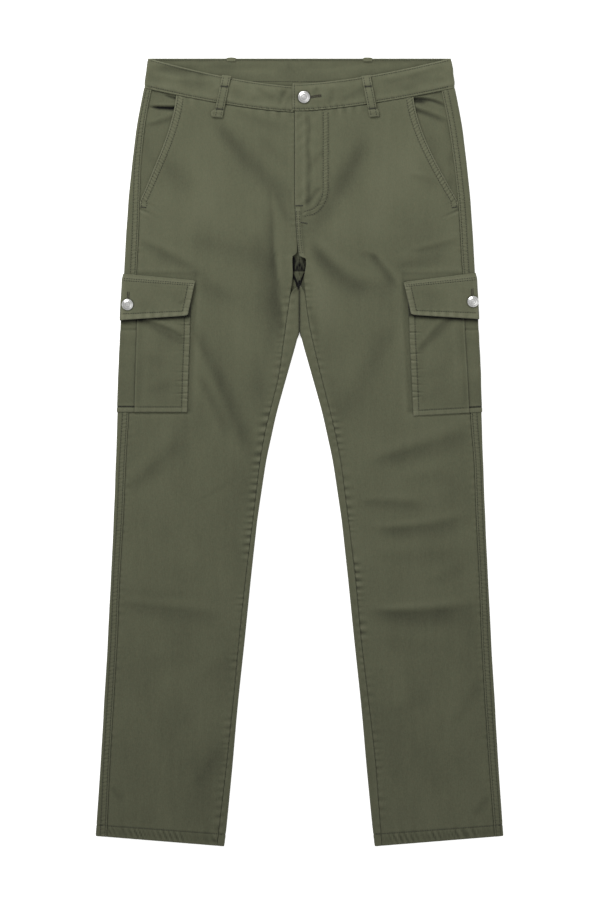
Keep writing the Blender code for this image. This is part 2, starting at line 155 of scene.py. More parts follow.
CREASES = creases(
    # Wearer's right hip and thigh.
    (-116, 82, -2, 200, 7, 12, 1.6, 0),
    (-88, 73, -8, 99, 4, 7, 0.6, -0.3),
    (-54, 106, -8, 150, 3, 8, 0.5, 0),
    (-31, 182, -11, 228, 2, 4.5, 1.0, 0.3),
    (-192, 132, -138, 190, 0, 14, 0.8, 0),
    (-37, 212, -20, 384, 5, 6, 1.9, -0.6),
    (-58, 240, -34, 410, -4, 15, 1.0, 0),
    (-41, 178, -36, 242, 1, 2.4, 0.8, 0.5),
    (-36, 232, -27, 322, 2, 2.2, 0.7, -0.5),
    (-16, 176, -12, 236, -2, 2.4, 0.5, 0.5),
    (-200, 300, -128, 330, 2, 9, -0.5, 0),
    (-90, 300, -70, 420, 3, 16, -0.5, 0),
    (-170, 110, -70, 250, 0, 34, -0.55, 0),
    (70, 250, 170, 110, 0, 34, -0.5, 0),
    (-218, 249, -122, 305, -3, 7, 1.3, -0.4),
    (-152, 248, -34, 282, -4, 15, 0.8, 0),
    (-140, 309, -72, 340, -3, 13, 0.9, 0),
    (-30, 296, -11, 344, 2, 3.5, 0.7, 0.5),
    (-148, 362, -62, 556, -6, 8, 1.5, 0.3),
    (-136, 432, -90, 526, -3, 7, 1.0, 0.3),
    (-60, 400, -46, 470, 3, 9, 0.6, 0),
    (-234, 584, -156, 510, 5, 10, 1.1, -0.3),
    (-139, 600, -84, 564, 2, 3, 0.3, 0),
    # Wearer's right knee and shin.
    (-240, 722, -150, 725, 2, 8, 0.3, -0.4),
    (-246, 739, -94, 758, -1, 9, 0.9, -0.8),
    (-206, 812, -130, 808, 4, 12, 0.3, -0.4),
    (-134, 838, -92, 808, 3, 9, 0.4, -0.3),
    (-144, 984, -104, 926, 3, 8, 0.55, -0.3),
    (-258, 982, -238, 1006, 0, 5, 0.6, 0),
    (-232, 900, -190, 880, 3, 12, 0.3, 0),
    # Wearer's left hip and thigh.
    (90, 112, 8, 246, -3, 13, 1.6, 0),
    (30, 176, 8, 204, 2, 3.2, 1.4, -0.3),
    (34, 128, 16, 156, 3, 5, 0.7, 0),
    (17, 252, 94, 318, 8, 10, 2.2, -0.4),
    (78, 302, 130, 318, 2, 12, 0.7, -0.3),
    (95, 264, 132, 314, -2, 4.5, 1.6, -0.5),
    (82, 265, 108, 271, 0, 4, 0.7, -0.4),
    (152, 262, 222, 245, 2, 4.5, 1.0, -0.5),
    (130, 284, 206, 264, 3, 10, 1.1, -0.3),
    (150, 162, 190, 174, -2, 5, 0.6, -0.5),
    (10, 256, 44, 380, -2, 15, -1.1, 0),
    (10, 332, 24, 392, -3, 4, 0.8, 0.4),
    (2, 322, 14, 346, 2, 3, 0.7, 0.4),
    (4, 348, 20, 362, 2, 3, 0.5, 0.4),
    (130, 362, 58, 508, 5, 15, 1.0, 0),
    (44, 430, 60, 500, 3, 9, 0.5, 0),
    (190, 120, 150, 190, -8, 13, 0.4, -0.3),
    # Wearer's left knee and shin.
    (94, 548, 238, 505, 2, 10, 1.4, -0.5),
    (134, 572, 202, 560, 3, 9, 0.5, -0.4),
    (84, 602, 170, 608, -2, 7, 1.3, -0.6),
    (96, 636, 234, 619, 8, 7, 1.4, -0.7),
    (100, 674, 230, 669, 3, 10, 0.5, -0.4),
    (170, 711, 232, 683, 2, 9, 0.5, -0.3),
    (94, 748, 238, 741, 6, 9, 1.8, -0.9),
    (120, 790, 204, 797, 4, 12, 0.3, -0.4),
    (206, 900, 244, 842, 2, 8, 0.6, -0.3),
    (120, 880, 180, 866, 3, 12, 0.3, 0),
    (232, 1023, 258, 994, 2, 6, 0.7, -0.3),
)
FACING_CREASES = creases(
    (-208, 67, -140, 69, 0, 1.7, 1.5, 0),
    (-198, 68, -144, 71, 0, 3.0, 2.0, -0.3),
    (-183, 51, -152, 60, 0, 2.2, 1.8, 0),
    (-208, 93, -156, 76, 2, 4, 1.0, -0.5),
    (-206, 110, -196, 150, 2, 5, 0.6, 0),
    (140, 60, 203, 72, -9, 1.9, 2.25, -0.3),
    (136, 58, 176, 61, 0, 3, 1.7, 0),
    (136, 66, 206, 92, -3, 3.2, 1.56, -0.4),
    (204, 128, 204, 186, 0, 4, 0.5, 0.3),
    (176, 104, 190, 140, 3, 7, 0.5, 0),
)
BAND_CREASES = creases(
    (-198, 14, -108, 31, -2, 5, 0.9, -0.4),
    (-190, 30, -120, 38, 2, 5, 0.6, -0.3),
    (-26, 68, -15, 44, -3, 3, 0.9, 0.3),
    (-92, 44, -48, 64, 3, 6, 0.5, -0.3),
    (-60, 40, -30, 58, 2, 4, 0.5, -0.3),
    (26, 40, 22, 56, 2, 3.5, 0.7, 0.3),
    (40, 66, 44, 40, 2, 4, 0.6, 0.3),
    (56, 60, 92, 38, 2, 5, 0.5, -0.3),
    (116, 34, 198, 13, 3, 5, 0.8, -0.4),
    (136, 46, 200, 30, -2, 6, 0.6, -0.3),
    (-160, 14, -20, 15, 3, 5, 0.6, -0.4),
    (20, 17, 160, 13, -3, 5, 0.6, -0.4),
    (-14, 0, -15, 16, 0, 2.5, -0.8, 0),
)
POCKET_CREASES = creases(
    (-218, 356, -150, 387, -4, 5, 2.0, -0.5),
    (-212, 400, -156, 420, 4, 9, 0.4, -0.3),
    (-206, 452, -164, 436, 3, 8, 0.4, -0.3),
    (160, 400, 212, 348, -3, 5, 1.9, -0.4),
    (168, 430, 210, 410, 4, 9, 0.4, -0.3),
    (160, 462, 200, 446, 3, 8, 0.4, -0.3),
)
FLAP_CREASES = creases(
    (-204, 306, -150, 330, 3, 10, 0.4, 0),
    (-164, 334, -142, 322, 1, 3, 0.7, 0),
    (150, 318, 206, 330, -3, 10, 0.4, 0),
    (186, 300, 226, 312, 2, 7, 0.4, 0),
)

CREASE_DEPTH = 1.1
# A front panel's points are this far from its edges, and further apart between.
FINE_EDGE = np.array((0, 0.4, 0.9, 1.6, 2.4, 3.2, 4.2, 5.6, 7.2, 8.6, 9.8, 11, 12.4))

# Stitches: rows this far in from the folded edge that they hold.
MOUTH_ROWS = (2.4, 9.2)
LIP_ROWS = (2.4, 8.6)
BAND_ROWS = (2.2, 33.2)
FLAP_TOP_ROWS = (6.6, 9.4)
FLAP_ROW = 8.4
POCKET_ROW, POCKET_FOOT_ROW = 7.8, 7.1
FLY_BAND = 6.6
LAP_ROW = 2.6
STITCH_PITCH = 3.2
STITCH_LENGTH = 2.0
STITCH_RADIUS = 0.5

OLIVE = (0.0888, 0.0928, 0.0553)
# The lighter colour for raised edges and ridges: partly wear, partly painted highlight.
WORN_AND_LIT = (0.157, 0.159, 0.103)
# Thread much darker than the cloth: painted shade of the stitches' dimples and needle holes.
THREAD = (0.027, 0.028, 0.0175)
BUTTONHOLE = (0.040, 0.036, 0.022)
SATIN = (0.60, 0.60, 0.585)
RIB_PITCH = 0.95


def smoothstep(values):
    t = np.clip(values, 0, 1)
    return t * t * (3 - 2 * t)


def ramp(values, start, end):
    return np.clip((values - start) / (end - start), 0, 1)


def mix(a, b, share):
    return a + (b - a) * share


def bell(distance, width):
    return np.exp(-((distance / width) ** 2))


def half_turn(count):
    """Cosines and sines on the way round a fold, from its top to its underside."""
    angles = np.radians(np.linspace(90, -90, count))
    return np.cos(angles), np.sin(angles)


def blur(values, spread, axis=0):
    """Gaussian blur along one axis, spread counted in samples, which keeps the ends in place."""
    if not spread:
        return values
    reach = int(min(3 * spread, values.shape[axis] - 1))
    kernel = np.exp(-0.5 * (np.arange(-reach, reach + 1) / spread) ** 2)
    kernel /= kernel.sum()

    def line(v):
        padded = np.pad(v, reach, mode="reflect", reflect_type="odd")
        return np.convolve(padded, kernel, mode="valid")

    return np.apply_along_axis(line, axis, values)


SAMPLES = np.arange(CORNER_DROP, LEG_END + 0.5, 1.0)
TABLE = {
    key: blur(
        np.interp(SAMPLES, SECTIONS[:, 0], SECTIONS[:, k]),
        SMOOTHED_OVER.get(key, SMOOTHED_OTHERS_OVER),
    )
    for k, key in enumerate(COLUMNS)
}


def at(key, run):
    """A column of the sections' table at any distance run down the leg."""
    return np.interp(run, SAMPLES, TABLE[key])


NOISE_CELLS = 400


def noise(seed, x, down, size):
    """Smooth noise from -1 to 1, with a new random value every "size" millimetres each way."""
    cells = np.random.default_rng(seed).uniform(-1, 1, (NOISE_CELLS + 1, NOISE_CELLS + 1))
    u, v = x / size, down / size
    i, j = np.floor(u).astype(int) % NOISE_CELLS, np.floor(v).astype(int) % NOISE_CELLS
    s, t = smoothstep(u - np.floor(u)), smoothstep(v - np.floor(v))
    low = mix(cells[i, j], cells[i + 1, j], s)
    return mix(low, mix(cells[i, j + 1], cells[i + 1, j + 1], s), t)


def creased(table, x, down):
    """Relief of a table of creases at points with signed x.

    A crease widens along its way, and fades in over its first part and out over its last. A sharp one
    has a steep bank, with a slight ridge above it, and a gentle one.
    """
    relief = np.zeros(x.shape)
    for k, c in enumerate(table):
        run_x, run_down = c.x_end - c.x, c.down_end - c.down
        length = math.hypot(run_x, run_down)
        along = ((x - c.x) * run_x + (down - c.down) * run_down) / length**2
        along = 0.07 + 0.86 * along
        across = ((down - c.down) * run_x - (x - c.x) * run_down) / length
        across = (across - c.bow * 4 * along * (1 - along)) / (c.half_width * (0.7 + 0.6 * along))
        steep = across * c.sharp > 0
        across = across / np.where(steep, 1 - 0.45 * abs(c.sharp), 1 + 1.1 * abs(c.sharp))
        near = (along > 0) & (along < 1) & (np.abs(across) < 3.5)
        along, across, steep = along[near], np.abs(across[near]), steep[near]
        fade = smoothstep(along / 0.24) * smoothstep((1 - along) / 0.34)
        fade = fade * (1 + 0.25 * noise(900 + k, along * length, 0 * along, 23))
        bank = np.where(steep, 0.42 * abs(c.sharp) ** 0.5 * bell(across - 2, 0.9), 0)
        relief[near] += fade * c.depth * CREASE_DEPTH * (bank - bell(across, 1))
    return relief


def puckers(seed, along, distance, pitch, reach, depth):
    """Uneven ripples across a seam, which die away with distance from it."""
    wander = noise(seed, along, np.zeros_like(along), 3.1 * pitch)
    strength = np.clip(0.62 + 0.75 * noise(seed + 1, along, 0 * along, 1.9 * pitch), 0.05, 1.4)
    phase = 2 * math.pi * (along / pitch + 0.8 * wander)
    return depth * strength * np.cos(phase) * bell(distance, reach)


def ladder(seed, along, pitch, depth):
    """Even rungs between two rows of stitches, a little uneven in place and depth."""
    phase = 2 * math.pi * (along / pitch + 0.25 * noise(seed, along, 0 * along, 6 * pitch))
    strength = 0.8 + 0.35 * noise(seed + 1, along, 0 * along, 2 * pitch)
    return depth * strength * (0.5 - 1.7 * np.exp(2.2 * (np.cos(phase) - 1)))


def tucks(seed, along, distance, start, end, reach, depth, width=1.0):
    """Crisp uneven pinches from an edge inwards."""
    rng = np.random.default_rng(seed)
    relief = 0 * along
    place = start
    while place < end:
        strength, slant, share = rng.uniform(0.35, 1), rng.uniform(-0.15, 0.15), rng.uniform(0.6, 1.2)
        off = (along - place - slant * distance) / width
        pinch = bell(off, 1) - 0.4 * bell(off - 2, 1.4)
        relief = relief - depth * strength * pinch * bell(distance, reach * share)
        place += rng.uniform(7, 15)
    return relief


def groove(distance, row, depth=0.38, width=0.8):
    """The line that a row of stitches pulls in."""
    return -depth * bell(distance - row, width)


def rolled(distance, drop, reach=0.6):
    """A folded edge that rounds away."""
    return -drop * np.exp(-np.maximum(distance, 0) / reach)


def window(distance, start, end, soft=1.2):
    return smoothstep((distance - start) / soft + 0.5) * smoothstep((end - distance) / soft + 0.5)


def side_seam(name, run):
    return at("side_" + name, run)


def inseam(name, run):
    return at("inseam_" + name, run)


def opened(name, run):
    """How far the front's edge stands off the inseam just below the crotch seam, where it gapes."""
    gape, start = CROTCH_OPENING[name]
    past = run - CROTCH - start
    return gape * smoothstep(past / 4) * (1 - smoothstep((past - 2) / 34))


def fold_radius(run):
    return (at("top", run) - at("lift", run)) / 2


def fold_end(run):
    """x where the front face of the leg starts to fold back."""
    return at("outer", run) - fold_radius(run)


def mouth(name, run):
    share = ramp(run, CORNER_DROP, MOUTH_FOOT) ** MOUTH_POWER
    return mix(MOUTH_TOP[name], side_seam(name, run), share)


def waist_dip(x, at_centre, at_corner, corner):
    return mix(at_centre, at_corner, np.minimum(1, np.abs(x) / corner) ** DIP_POWER)


def level(name, x, run, on_front=1.0):
    """down of a point of a section, which follows the waist's dip on the front and the hem's slope."""
    across = 1 - ramp(x, HEM_INNER, HEM_OUTER)
    down = run + HEM_SLOPE * across * ramp(run, HEM_SLOPE_FROM, LEG_END)
    dip = waist_dip(x, FRONT_DIP[name].seam, CORNER_DROP, CORNER_LOW) - CORNER_DROP
    return down + on_front * dip * (1 - ramp(run, CORNER_DROP, DIP_FADES_AT))


def back_lift(run, x):
    plateau = at("lift", run) * (1 - ramp(at("outer", run) - x, PLATEAU, PLATEAU_END))
    return np.where(run <= CROTCH, at("lift", run), plateau)


def stations(start, end, pitch, edge=(0,), edge_end=(0,)):
    """Distances from start to end: close together near the ends, and "pitch" apart between."""
    low, high = start + np.array(edge, float), end - np.array(edge_end, float)[::-1]
    count = max(2, int(round((high[0] - low[-1]) / pitch)))
    return np.concatenate((low, np.linspace(low[-1], high[0], count + 1)[1:-1], high))


# Materials.


class Nodes:
    """Builds a material's nodes with one call each."""

    def __init__(self, name):
        self.material = bpy.data.materials.new(name)
        self.material.use_nodes = True
        self.tree = self.material.node_tree
        self.shader = self.tree.nodes["Principled BSDF"]
        self.place = self.add("ShaderNodeTexCoord").outputs["Object"]

    def add(self, kind, inputs=(), **settings):
        node = self.tree.nodes.new(kind)
        for key, value in settings.items():
            setattr(node, key, value)
        for key, value in dict(inputs).items():
            self.set(node.inputs[key], value)
        return node

    def set(self, socket, value):
        if isinstance(value, bpy.types.NodeSocket):
            self.tree.links.new(value, socket)
        else:
            socket.default_value = value

    def math(self, operation, a, b=0.0):
        return self.add("ShaderNodeMath", {0: a, 1: b}, operation=operation).outputs[0]

    def noise(self, size, detail=2.0, vector=None):
        """Noise about 0, with features "size" millimetres across."""
        inputs = {"Vector": vector or self.place, "Scale": 1 / (size * MM), "Detail": detail}
        made = self.add("ShaderNodeTexNoise", inputs)
        return self.math("SUBTRACT", made.outputs["Fac"], 0.5)

    def attribute(self, name):
        return self.add("ShaderNodeAttribute", attribute_name=name).outputs["Fac"]

    def mapped(self, **settings):
        return self.add("ShaderNodeMapping", {"Vector": self.place, **settings}).outputs[0]

    def weighed(self, total, *parts):
        """A number plus each of some values times its weight."""
        for part, weight in parts:
            total = self.math("ADD", total, self.math("MULTIPLY", part, weight))
        return total

    def coloured(self, colour, value, **settings):
        """Makes this the base colour, its brightness multiplied by a value."""
        shaded = self.add("ShaderNodeHueSaturation", {"Color": colour, "Value": value, **settings})
        self.finish({"Base Color": shaded.outputs[0]})

    def bumpy(self, height, depth, strength):
        """A bump of this depth in millimetres."""
        inputs = {"Height": height, "Distance": depth * MM, "Strength": strength}
        self.finish({"Normal": self.add("ShaderNodeBump", inputs).outputs[0]})

    def finish(self, inputs):
        for key, value in inputs.items():
            self.set(self.shader.inputs[key], value)


def twill(name, colour, wear_and_highlight):
    """Garment-dyed cotton twill: diagonal ribs and slubs, painted highlight and wear on its ridges, painted
    shade where it lies low, and painted light that is brighter towards the waist.
    """
    n = Nodes(name)
    wave = {"Scale": 0.314 / (RIB_PITCH * MM), "Distortion": 1.2, "Detail": 1.0, "Detail Scale": 1.5}
    wave["Vector"] = n.mapped(Rotation=(0, 0, math.radians(28)))
    ribs = n.add("ShaderNodeTexWave", wave, wave_type="BANDS", bands_direction="X").outputs["Fac"]
    slubs = n.noise(1.3, 2, n.mapped(Scale=(1.0, 0.22, 1.0)))
    grain = n.noise(2.2, 3)
    patches = n.noise(55, 3)
    streaks = n.noise(8, 2, n.mapped(Scale=(1.0, 0.12, 1.0)))
    tone = n.attribute("tone")
    # Painted light: the cloth is brighter towards the waist and darker towards the hem, as if lit from the
    # waist's end.
    lighter_to_waist = n.add("ShaderNodeSeparateXYZ", {0: n.place}).outputs["Y"]
    # Painted shade where the tone is below zero: in seams, creases, hollows and under other parts.
    painted_shade = n.math("MINIMUM", tone, 0.0)
    value = n.weighed(
        1.0, (lighter_to_waist, 0.37), (patches, 0.20), (streaks, 0.14), (grain, 0.28), (slubs, 0.24),
        (n.math("SUBTRACT", ribs, 0.5), 0.10), (painted_shade, 0.62),
    )
    # Above zero the tone fades the colour towards a lighter one: painted highlight on raised edges and
    # ridges, and wear.
    fade = n.math("MULTIPLY", n.math("MAXIMUM", tone, 0.0), 0.62)
    wear_and_highlight_mix = n.add("ShaderNodeMix", {"Factor": fade}, data_type="RGBA")
    n.set(wear_and_highlight_mix.inputs[6], (*colour, 1))
    n.set(wear_and_highlight_mix.inputs[7], (*wear_and_highlight, 1))
    hue = n.weighed(0.5, (n.noise(3.5, 2), 0.05))
    n.coloured(wear_and_highlight_mix.outputs[2], value, Hue=hue)
    n.bumpy(n.weighed(0.0, (ribs, 0.5), (slubs, 0.9), (grain, 0.7)), 0.12, 0.7)
    n.finish({"Roughness": 0.88, "Specular IOR Level": 0.25, "Sheen Weight": 0.10, "Sheen Roughness": 0.45})
    return n.material


def thread(name, colour):
    n = Nodes(name)
    n.coloured((*colour, 1), n.weighed(1.0, (n.noise(4, 2), 0.5)))
    n.finish({"Roughness": 0.7})
    return n.material


def metal(name, colour):
    """Satin metal with fine random scratches, a duller patina, and painted shade and highlight from each
    point's tone.
    """
    n = Nodes(name)
    patina = n.noise(3.0, 4)
    n.coloured((*colour, 1), n.weighed(0.98, (patina, 0.5), (n.attribute("tone"), 0.6)))
    n.bumpy(n.noise(0.9, 2), 0.06, 0.5)
    n.finish({"Roughness": n.weighed(0.36, (patina, 0.25)), "Metallic": 1.0})
    return n.material


TWILL = twill("olive_twill", OLIVE, WORN_AND_LIT)
THREADS = thread("olive_thread", THREAD)
DARK_THREADS = thread("buttonhole_thread", BUTTONHOLE)
SILVER = metal("satin_silver", SATIN)


# Meshes.

FOLD_TONE = 0.27  # painted shade for each millimetre of crease
shells = {}  # for each cloth piece, the tree that its stitches are dropped on


def grid_faces(rows, columns):
    """Quads of a grid whose points are numbered row by row."""
    corner = np.arange(rows - 1)[:, None] * columns + np.arange(columns - 1)
    quads = np.stack((corner, corner + 1, corner + columns + 1, corner + columns), axis=-1)
    return quads.reshape(-1, 4)


def new_mesh(name, points, faces, material, tones=None):
    """A smooth object of points in metres, with a tone for each point where the material has one."""
    mesh = bpy.data.meshes.new(name)
    mesh.from_pydata(points.tolist(), [], faces)
    mesh.polygons.foreach_set("use_smooth", np.ones(len(faces), bool))
    if tones is not None:
        layer = mesh.attributes.new("tone", "FLOAT", "POINT")
        layer.data.foreach_set("value", np.asarray(tones, np.float32))
    mesh.materials.append(material)
    obj = bpy.data.objects.new(name, mesh)
    bpy.context.scene.collection.objects.link(obj)
    return obj


def outward(points):
    """Unit normals of a grid of points, pointing up where its columns start."""
    normals = np.cross(np.gradient(points, axis=0), np.gradient(points, axis=1))
    normals /= np.maximum(np.linalg.norm(normals, axis=-1, keepdims=True), 1e-12)
    return normals * np.sign(normals[:3, :3, 2].sum())


def add_cloth(name, side, x, down, z, relief, wall, shade=0.0, folds=0.0):
    """A cloth piece from grids of x, down, height and relief: a shell of that wall, closed all round.

    Its tone is how far the relief stands above or below its surroundings, and how deep its folds are, plus
    the shade it is given: the material paints it as shade below zero, and as highlight and wear above.
    """
    x, down, z, relief, wall, folds = np.broadcast_arrays(x, down, z, relief, wall, folds)
    base = np.stack((side * x, LENGTH / 2 - down, z), axis=-1) * MM
    outside = base + outward(base) * (relief + folds)[..., None] * MM
    normals = outward(outside)
    inside = outside - normals * (wall[..., None] * MM)
    close = relief - blur(blur(relief, 2), 2, axis=1)
    # Painted light and shade: darker where the relief lies below its surroundings and in the folds, lighter
    # where it stands above them, plus the given shade.
    tone = np.clip(np.clip(close * 1.5, -1.25, 1) + folds * FOLD_TONE + shade, -2.2, 1)

    # The points outside, those inside, and a ring halfway through the wall all round.
    rows, columns = x.shape
    count = rows * columns
    index = np.arange(count).reshape(rows, columns)
    rim = np.concatenate((index[0], index[1:, -1], index[-1, -2::-1], index[-2:0:-1, 0]))
    beyond = np.roll(rim, -1)
    ring = 2 * count + np.arange(len(rim))
    ring_beyond = np.roll(ring, -1)
    flat_out, flat_in, flat_tone = outside.reshape(-1, 3), inside.reshape(-1, 3), tone.reshape(-1)
    points = np.concatenate((flat_out, flat_in, (flat_out[rim] + flat_in[rim]) / 2))
    tones = np.concatenate((flat_tone, flat_tone, flat_tone[rim]))
    quads = grid_faces(rows, columns)
    faces = np.concatenate(
        (
            quads,
            quads[:, ::-1] + count,
            np.stack((beyond, rim, ring, ring_beyond), axis=-1),
            np.stack((ring_beyond, ring, rim + count, beyond + count), axis=-1),
        )
    )
    facing = np.cross(base[0, 1] - base[0, 0], base[1, 0] - base[0, 0])
    if np.dot(facing, normals[0, 0]) < 0:
        faces = faces[:, ::-1]
    obj = new_mesh(name + "_cloth", points, faces.tolist(), TWILL, tones)
    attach(obj, "root")
    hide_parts(name)
    shells[name] = BVHTree.FromPolygons([Vector(p) for p in points], faces.tolist())


# Front panels.

PANEL_TOP = CORNER_DROP + np.array((0.15, 0.5, 1.0, 1.7, 2.5))
PANEL_HEM = stations(HEM_SEAM - 3, LEG_END, 1.5, (0, 1.5, 2.4, 3.4), (0, 0.4, 1, 1.8))
FLY_ROW_X = 38.5
FLY_BEND = 176  # where its stitching leaves its straight
FLY_BEND_X, FLY_BEND_REACH, FLY_BEND_DROP = 8.5, 30, 38


def panel_wall(run):
    """Wall of a leg's panels, which are thicker at the hem."""
    return mix(WALL, HEM_WALL, ramp(run, HEM_WALL_FROM, HEM_SEAM))


def pressed(x, down, run):
    """1 where the cargo pocket or flap lies on the front panel, fading to 0 round them."""
    across = smoothstep((max(FLAP_REACH) + 8 - (at("outer", run) - x)) / 6)
    return across * window(down, FLAP_TOP - 2, BODY_FOOT + 1, 5)


def flap_edge(name, run):
    """x of the cargo flap's inboard edge."""
    share = ramp(run, FLAPS[name].top, FLAPS[name].foot)
    return fold_end(run) - mix(*FLAP_REACH, share)


def front_grid(name):
    """x, down and run of a front's points, closest at its waist, edges and hem."""
    rows = np.concatenate(
        (
            PANEL_TOP,
            np.arange(CORNER_DROP + 3.4, 203, 0.9),
            np.arange(204, 232, 1.5),
            np.arange(233.5, HEM_SEAM - 4, 2.9),
            PANEL_HEM,
        )
    )
    run = rows[:, None]
    start = inseam(name, run) + opened(name, run) + GAP / 2
    end = mouth(name, run) - GAP / 2
    low, high = start + FINE_EDGE, end - FINE_EDGE[::-1]
    between = np.linspace(0, 1, 56)[1:-1]
    x = np.concatenate((low, mix(low[:, -1:], high[:, :1], between), high), axis=1)
    run = np.broadcast_to(run, x.shape)
    return x, level(name, x, run), run


def mouth_relief(outer, top, run, down):
    """Hip pocket mouth: a folded edge that bows off the facing, with a ladder between its two rows."""
    relief = 0.9 * bell(outer, 16) * smoothstep(top / 12) * smoothstep((MOUTH_FOOT - run) / 60)
    relief = relief + rolled(outer, 0.9)
    relief = relief + ladder(11, down - 0.7 * outer, 4.3, 0.46) * window(outer, *MOUTH_ROWS, 1.6)
    relief = relief + 0.3 * window(outer, 0.6, MOUTH_ROWS[1] + 0.8, 2)
    for row in MOUTH_ROWS:
        relief = relief + groove(outer, row)
    return relief


def fly_curve(inset):
    """The fly's J-shaped stitching on the wearer's left, this far inside its outer row."""
    straight = np.stack((np.full(40, FLY_ROW_X - inset), np.linspace(74, FLY_BEND, 40)), axis=-1)
    turn = np.linspace(0, math.radians(72), 24)
    reach_x, reach_down = FLY_BEND_REACH - inset, FLY_BEND_DROP - inset
    bend_x = FLY_BEND_X + reach_x * np.cos(turn)
    bend = np.stack((bend_x, FLY_BEND + reach_down * np.sin(turn)), axis=-1)
    tail = np.array([(6.0, FLY_BEND + reach_down * 1.02)])
    return np.concatenate((straight, bend, tail))


def left_centre_relief(x, down, run, inner, on_leg):
    """The wearer's left centre: the fly's lap and its band of stitching, then the crotch seam."""
    past_fly = smoothstep((run - FLY_END) / 6)
    seam = 0.55 * window(inner, 0.5, 6.4, 1.4) + rolled(inner, 0.8) + puckers(41, down, inner, 9, 9, 0.2)
    relief = (1 - on_leg) * past_fly * seam
    ripples = puckers(43, down + 0.7 * inner, inner - 7, 16, 9, 0.26)
    ripples = ripples + puckers(47, down - 0.2 * inner, inner - 26, 17, 9, 0.22)
    relief += (1 - past_fly) * (0.5 * window(inner, -1, 14, 5) + rolled(inner, 1.0) + ripples)
    wander = 1.6 * noise(44, 0 * down, down, 24)
    strength = 0.6 + 0.6 * noise(46, 0 * down, down, 15)
    relief += (1 - past_fly) * groove(inner + wander, 19, 0.42, 2.4) * strength
    # The J's band, with a furrow on its outer side.
    away = np.full(x.shape, FAR)
    near = (x < 70) & (down < 240)
    spots = np.stack((x[near], down[near]), axis=-1)
    curve = fly_curve(FLY_BAND / 2)
    away[near] = np.linalg.norm(spots[:, None] - curve[None], axis=-1).min(axis=1)
    rungs = ladder(45, down + 0.5 * x, 4.6, 0.34)
    return relief + (0.1 + rungs) * bell(away, 3.4) - 0.25 * bell(away - 3.8, 1.5)


def right_centre_relief(down, inner, on_leg):
    """The wearer's right centre, which goes under the left."""
    relief = rolled(inner, 0.9, 2.2) + 0.6 * puckers(41, down, inner, 9, 9, 0.2)
    return (1 - on_leg) * (relief - 0.5 * bell(inner, 12))


def add_front(name, side):
    """Front panel, from the centre or the inseam to the pocket's mouth or the side seam."""
    x, down, run = front_grid(name)
    slant = np.where(run < MOUTH_FOOT, MOUTH_SLANT, 1.0)
    outer, inner = (mouth(name, run) - x) * slant, x - inseam(name, run)
    top, foot = run - CORNER_DROP, LEG_END - run
    covered = pressed(x, down, run)
    at_mouth = 1 - smoothstep((run - MOUTH_FOOT + 2) / 14)
    below_mouth = 1 - at_mouth
    on_leg = smoothstep((run - CROTCH) / 30)

    folds = creased(CREASES, side * x, down)
    folds += 0.4 * noise(3, side * x, down, 74) + 0.14 * noise(4, side * x, down, 27)
    folds += 0.3 * noise(5, side * x, 0.4 * down, 26)
    folds *= smoothstep(outer / mix(5, 16, at_mouth)) * smoothstep(inner / 5)
    folds *= smoothstep(foot / 22) * smoothstep(top / 5) * (1 - 0.85 * covered)

    relief = at_mouth * mouth_relief(outer, top, run, down)
    # Side seam: the front dives under the back's edge, a little puckered.
    relief += below_mouth * (rolled(outer, 0.75, 1.0) + puckers(21, down, outer, 10.5, 6, 0.16))
    relief += tucks(25 + side, down - 0.4 * outer, outer, MOUTH_FOOT - 1, MOUTH_FOOT + 16, 16, 0.8, 1.8)
    # Inseam below the crotch, and the centre above it.
    strength = 0.3 + 0.3 * window(run, 470, 800, 90)
    relief += on_leg * (rolled(inner, 0.8, 1.0) + puckers(31 + side, down, inner, 11, 8, strength))
    if name == "left":
        relief += left_centre_relief(x, down, run, inner, on_leg)
    else:
        relief += right_centre_relief(down, inner, on_leg)
    # Waist seam, with small gathers below it.
    relief += rolled(top, 0.8, 1.1) + puckers(51 + side, side * x, top, 15, 11, 0.22)
    # Hem: a turn-up held by one row, roped between the row and the edge.
    hem_row = foot - (LEG_END - HEM_SEAM)
    relief += groove(hem_row, 0, 0.3, 1.3) + rolled(foot, 0.8, 0.7)
    relief += puckers(61, side * x + 0.5 * foot, 0 * foot, 7, 1, 0.34) * window(foot, 1, 14, 3)
    relief += puckers(63, side * x, hem_row, 16, 9, 0.12)
    relief = np.where(covered > 0, mix(relief, np.minimum(relief, 0) * 0.4 - 0.5, covered), relief)

    shade = -0.3 * on_leg * np.exp(-inner / 1.2) - 0.4 * below_mouth * np.exp(-outer / 1.2)
    shade = shade - 0.16 * window(foot, -1, 13, 2) - 0.9 * np.exp(-top / 1.0)
    shade = shade + 0.2 * at_mouth * window(outer, 0.4, 2.2, 0.8)
    beside = np.exp(-np.maximum(flap_edge(name, run) - x, 0) / 1.4)
    shade = shade - 0.7 * beside * window(run, FLAPS[name].top + 10, FLAPS[name].foot + 2, 3)
    add_cloth(
        "front_" + name, side, x, down, at("top", run), relief, panel_wall(run),
        shade, folds,
    )


# Back panels.


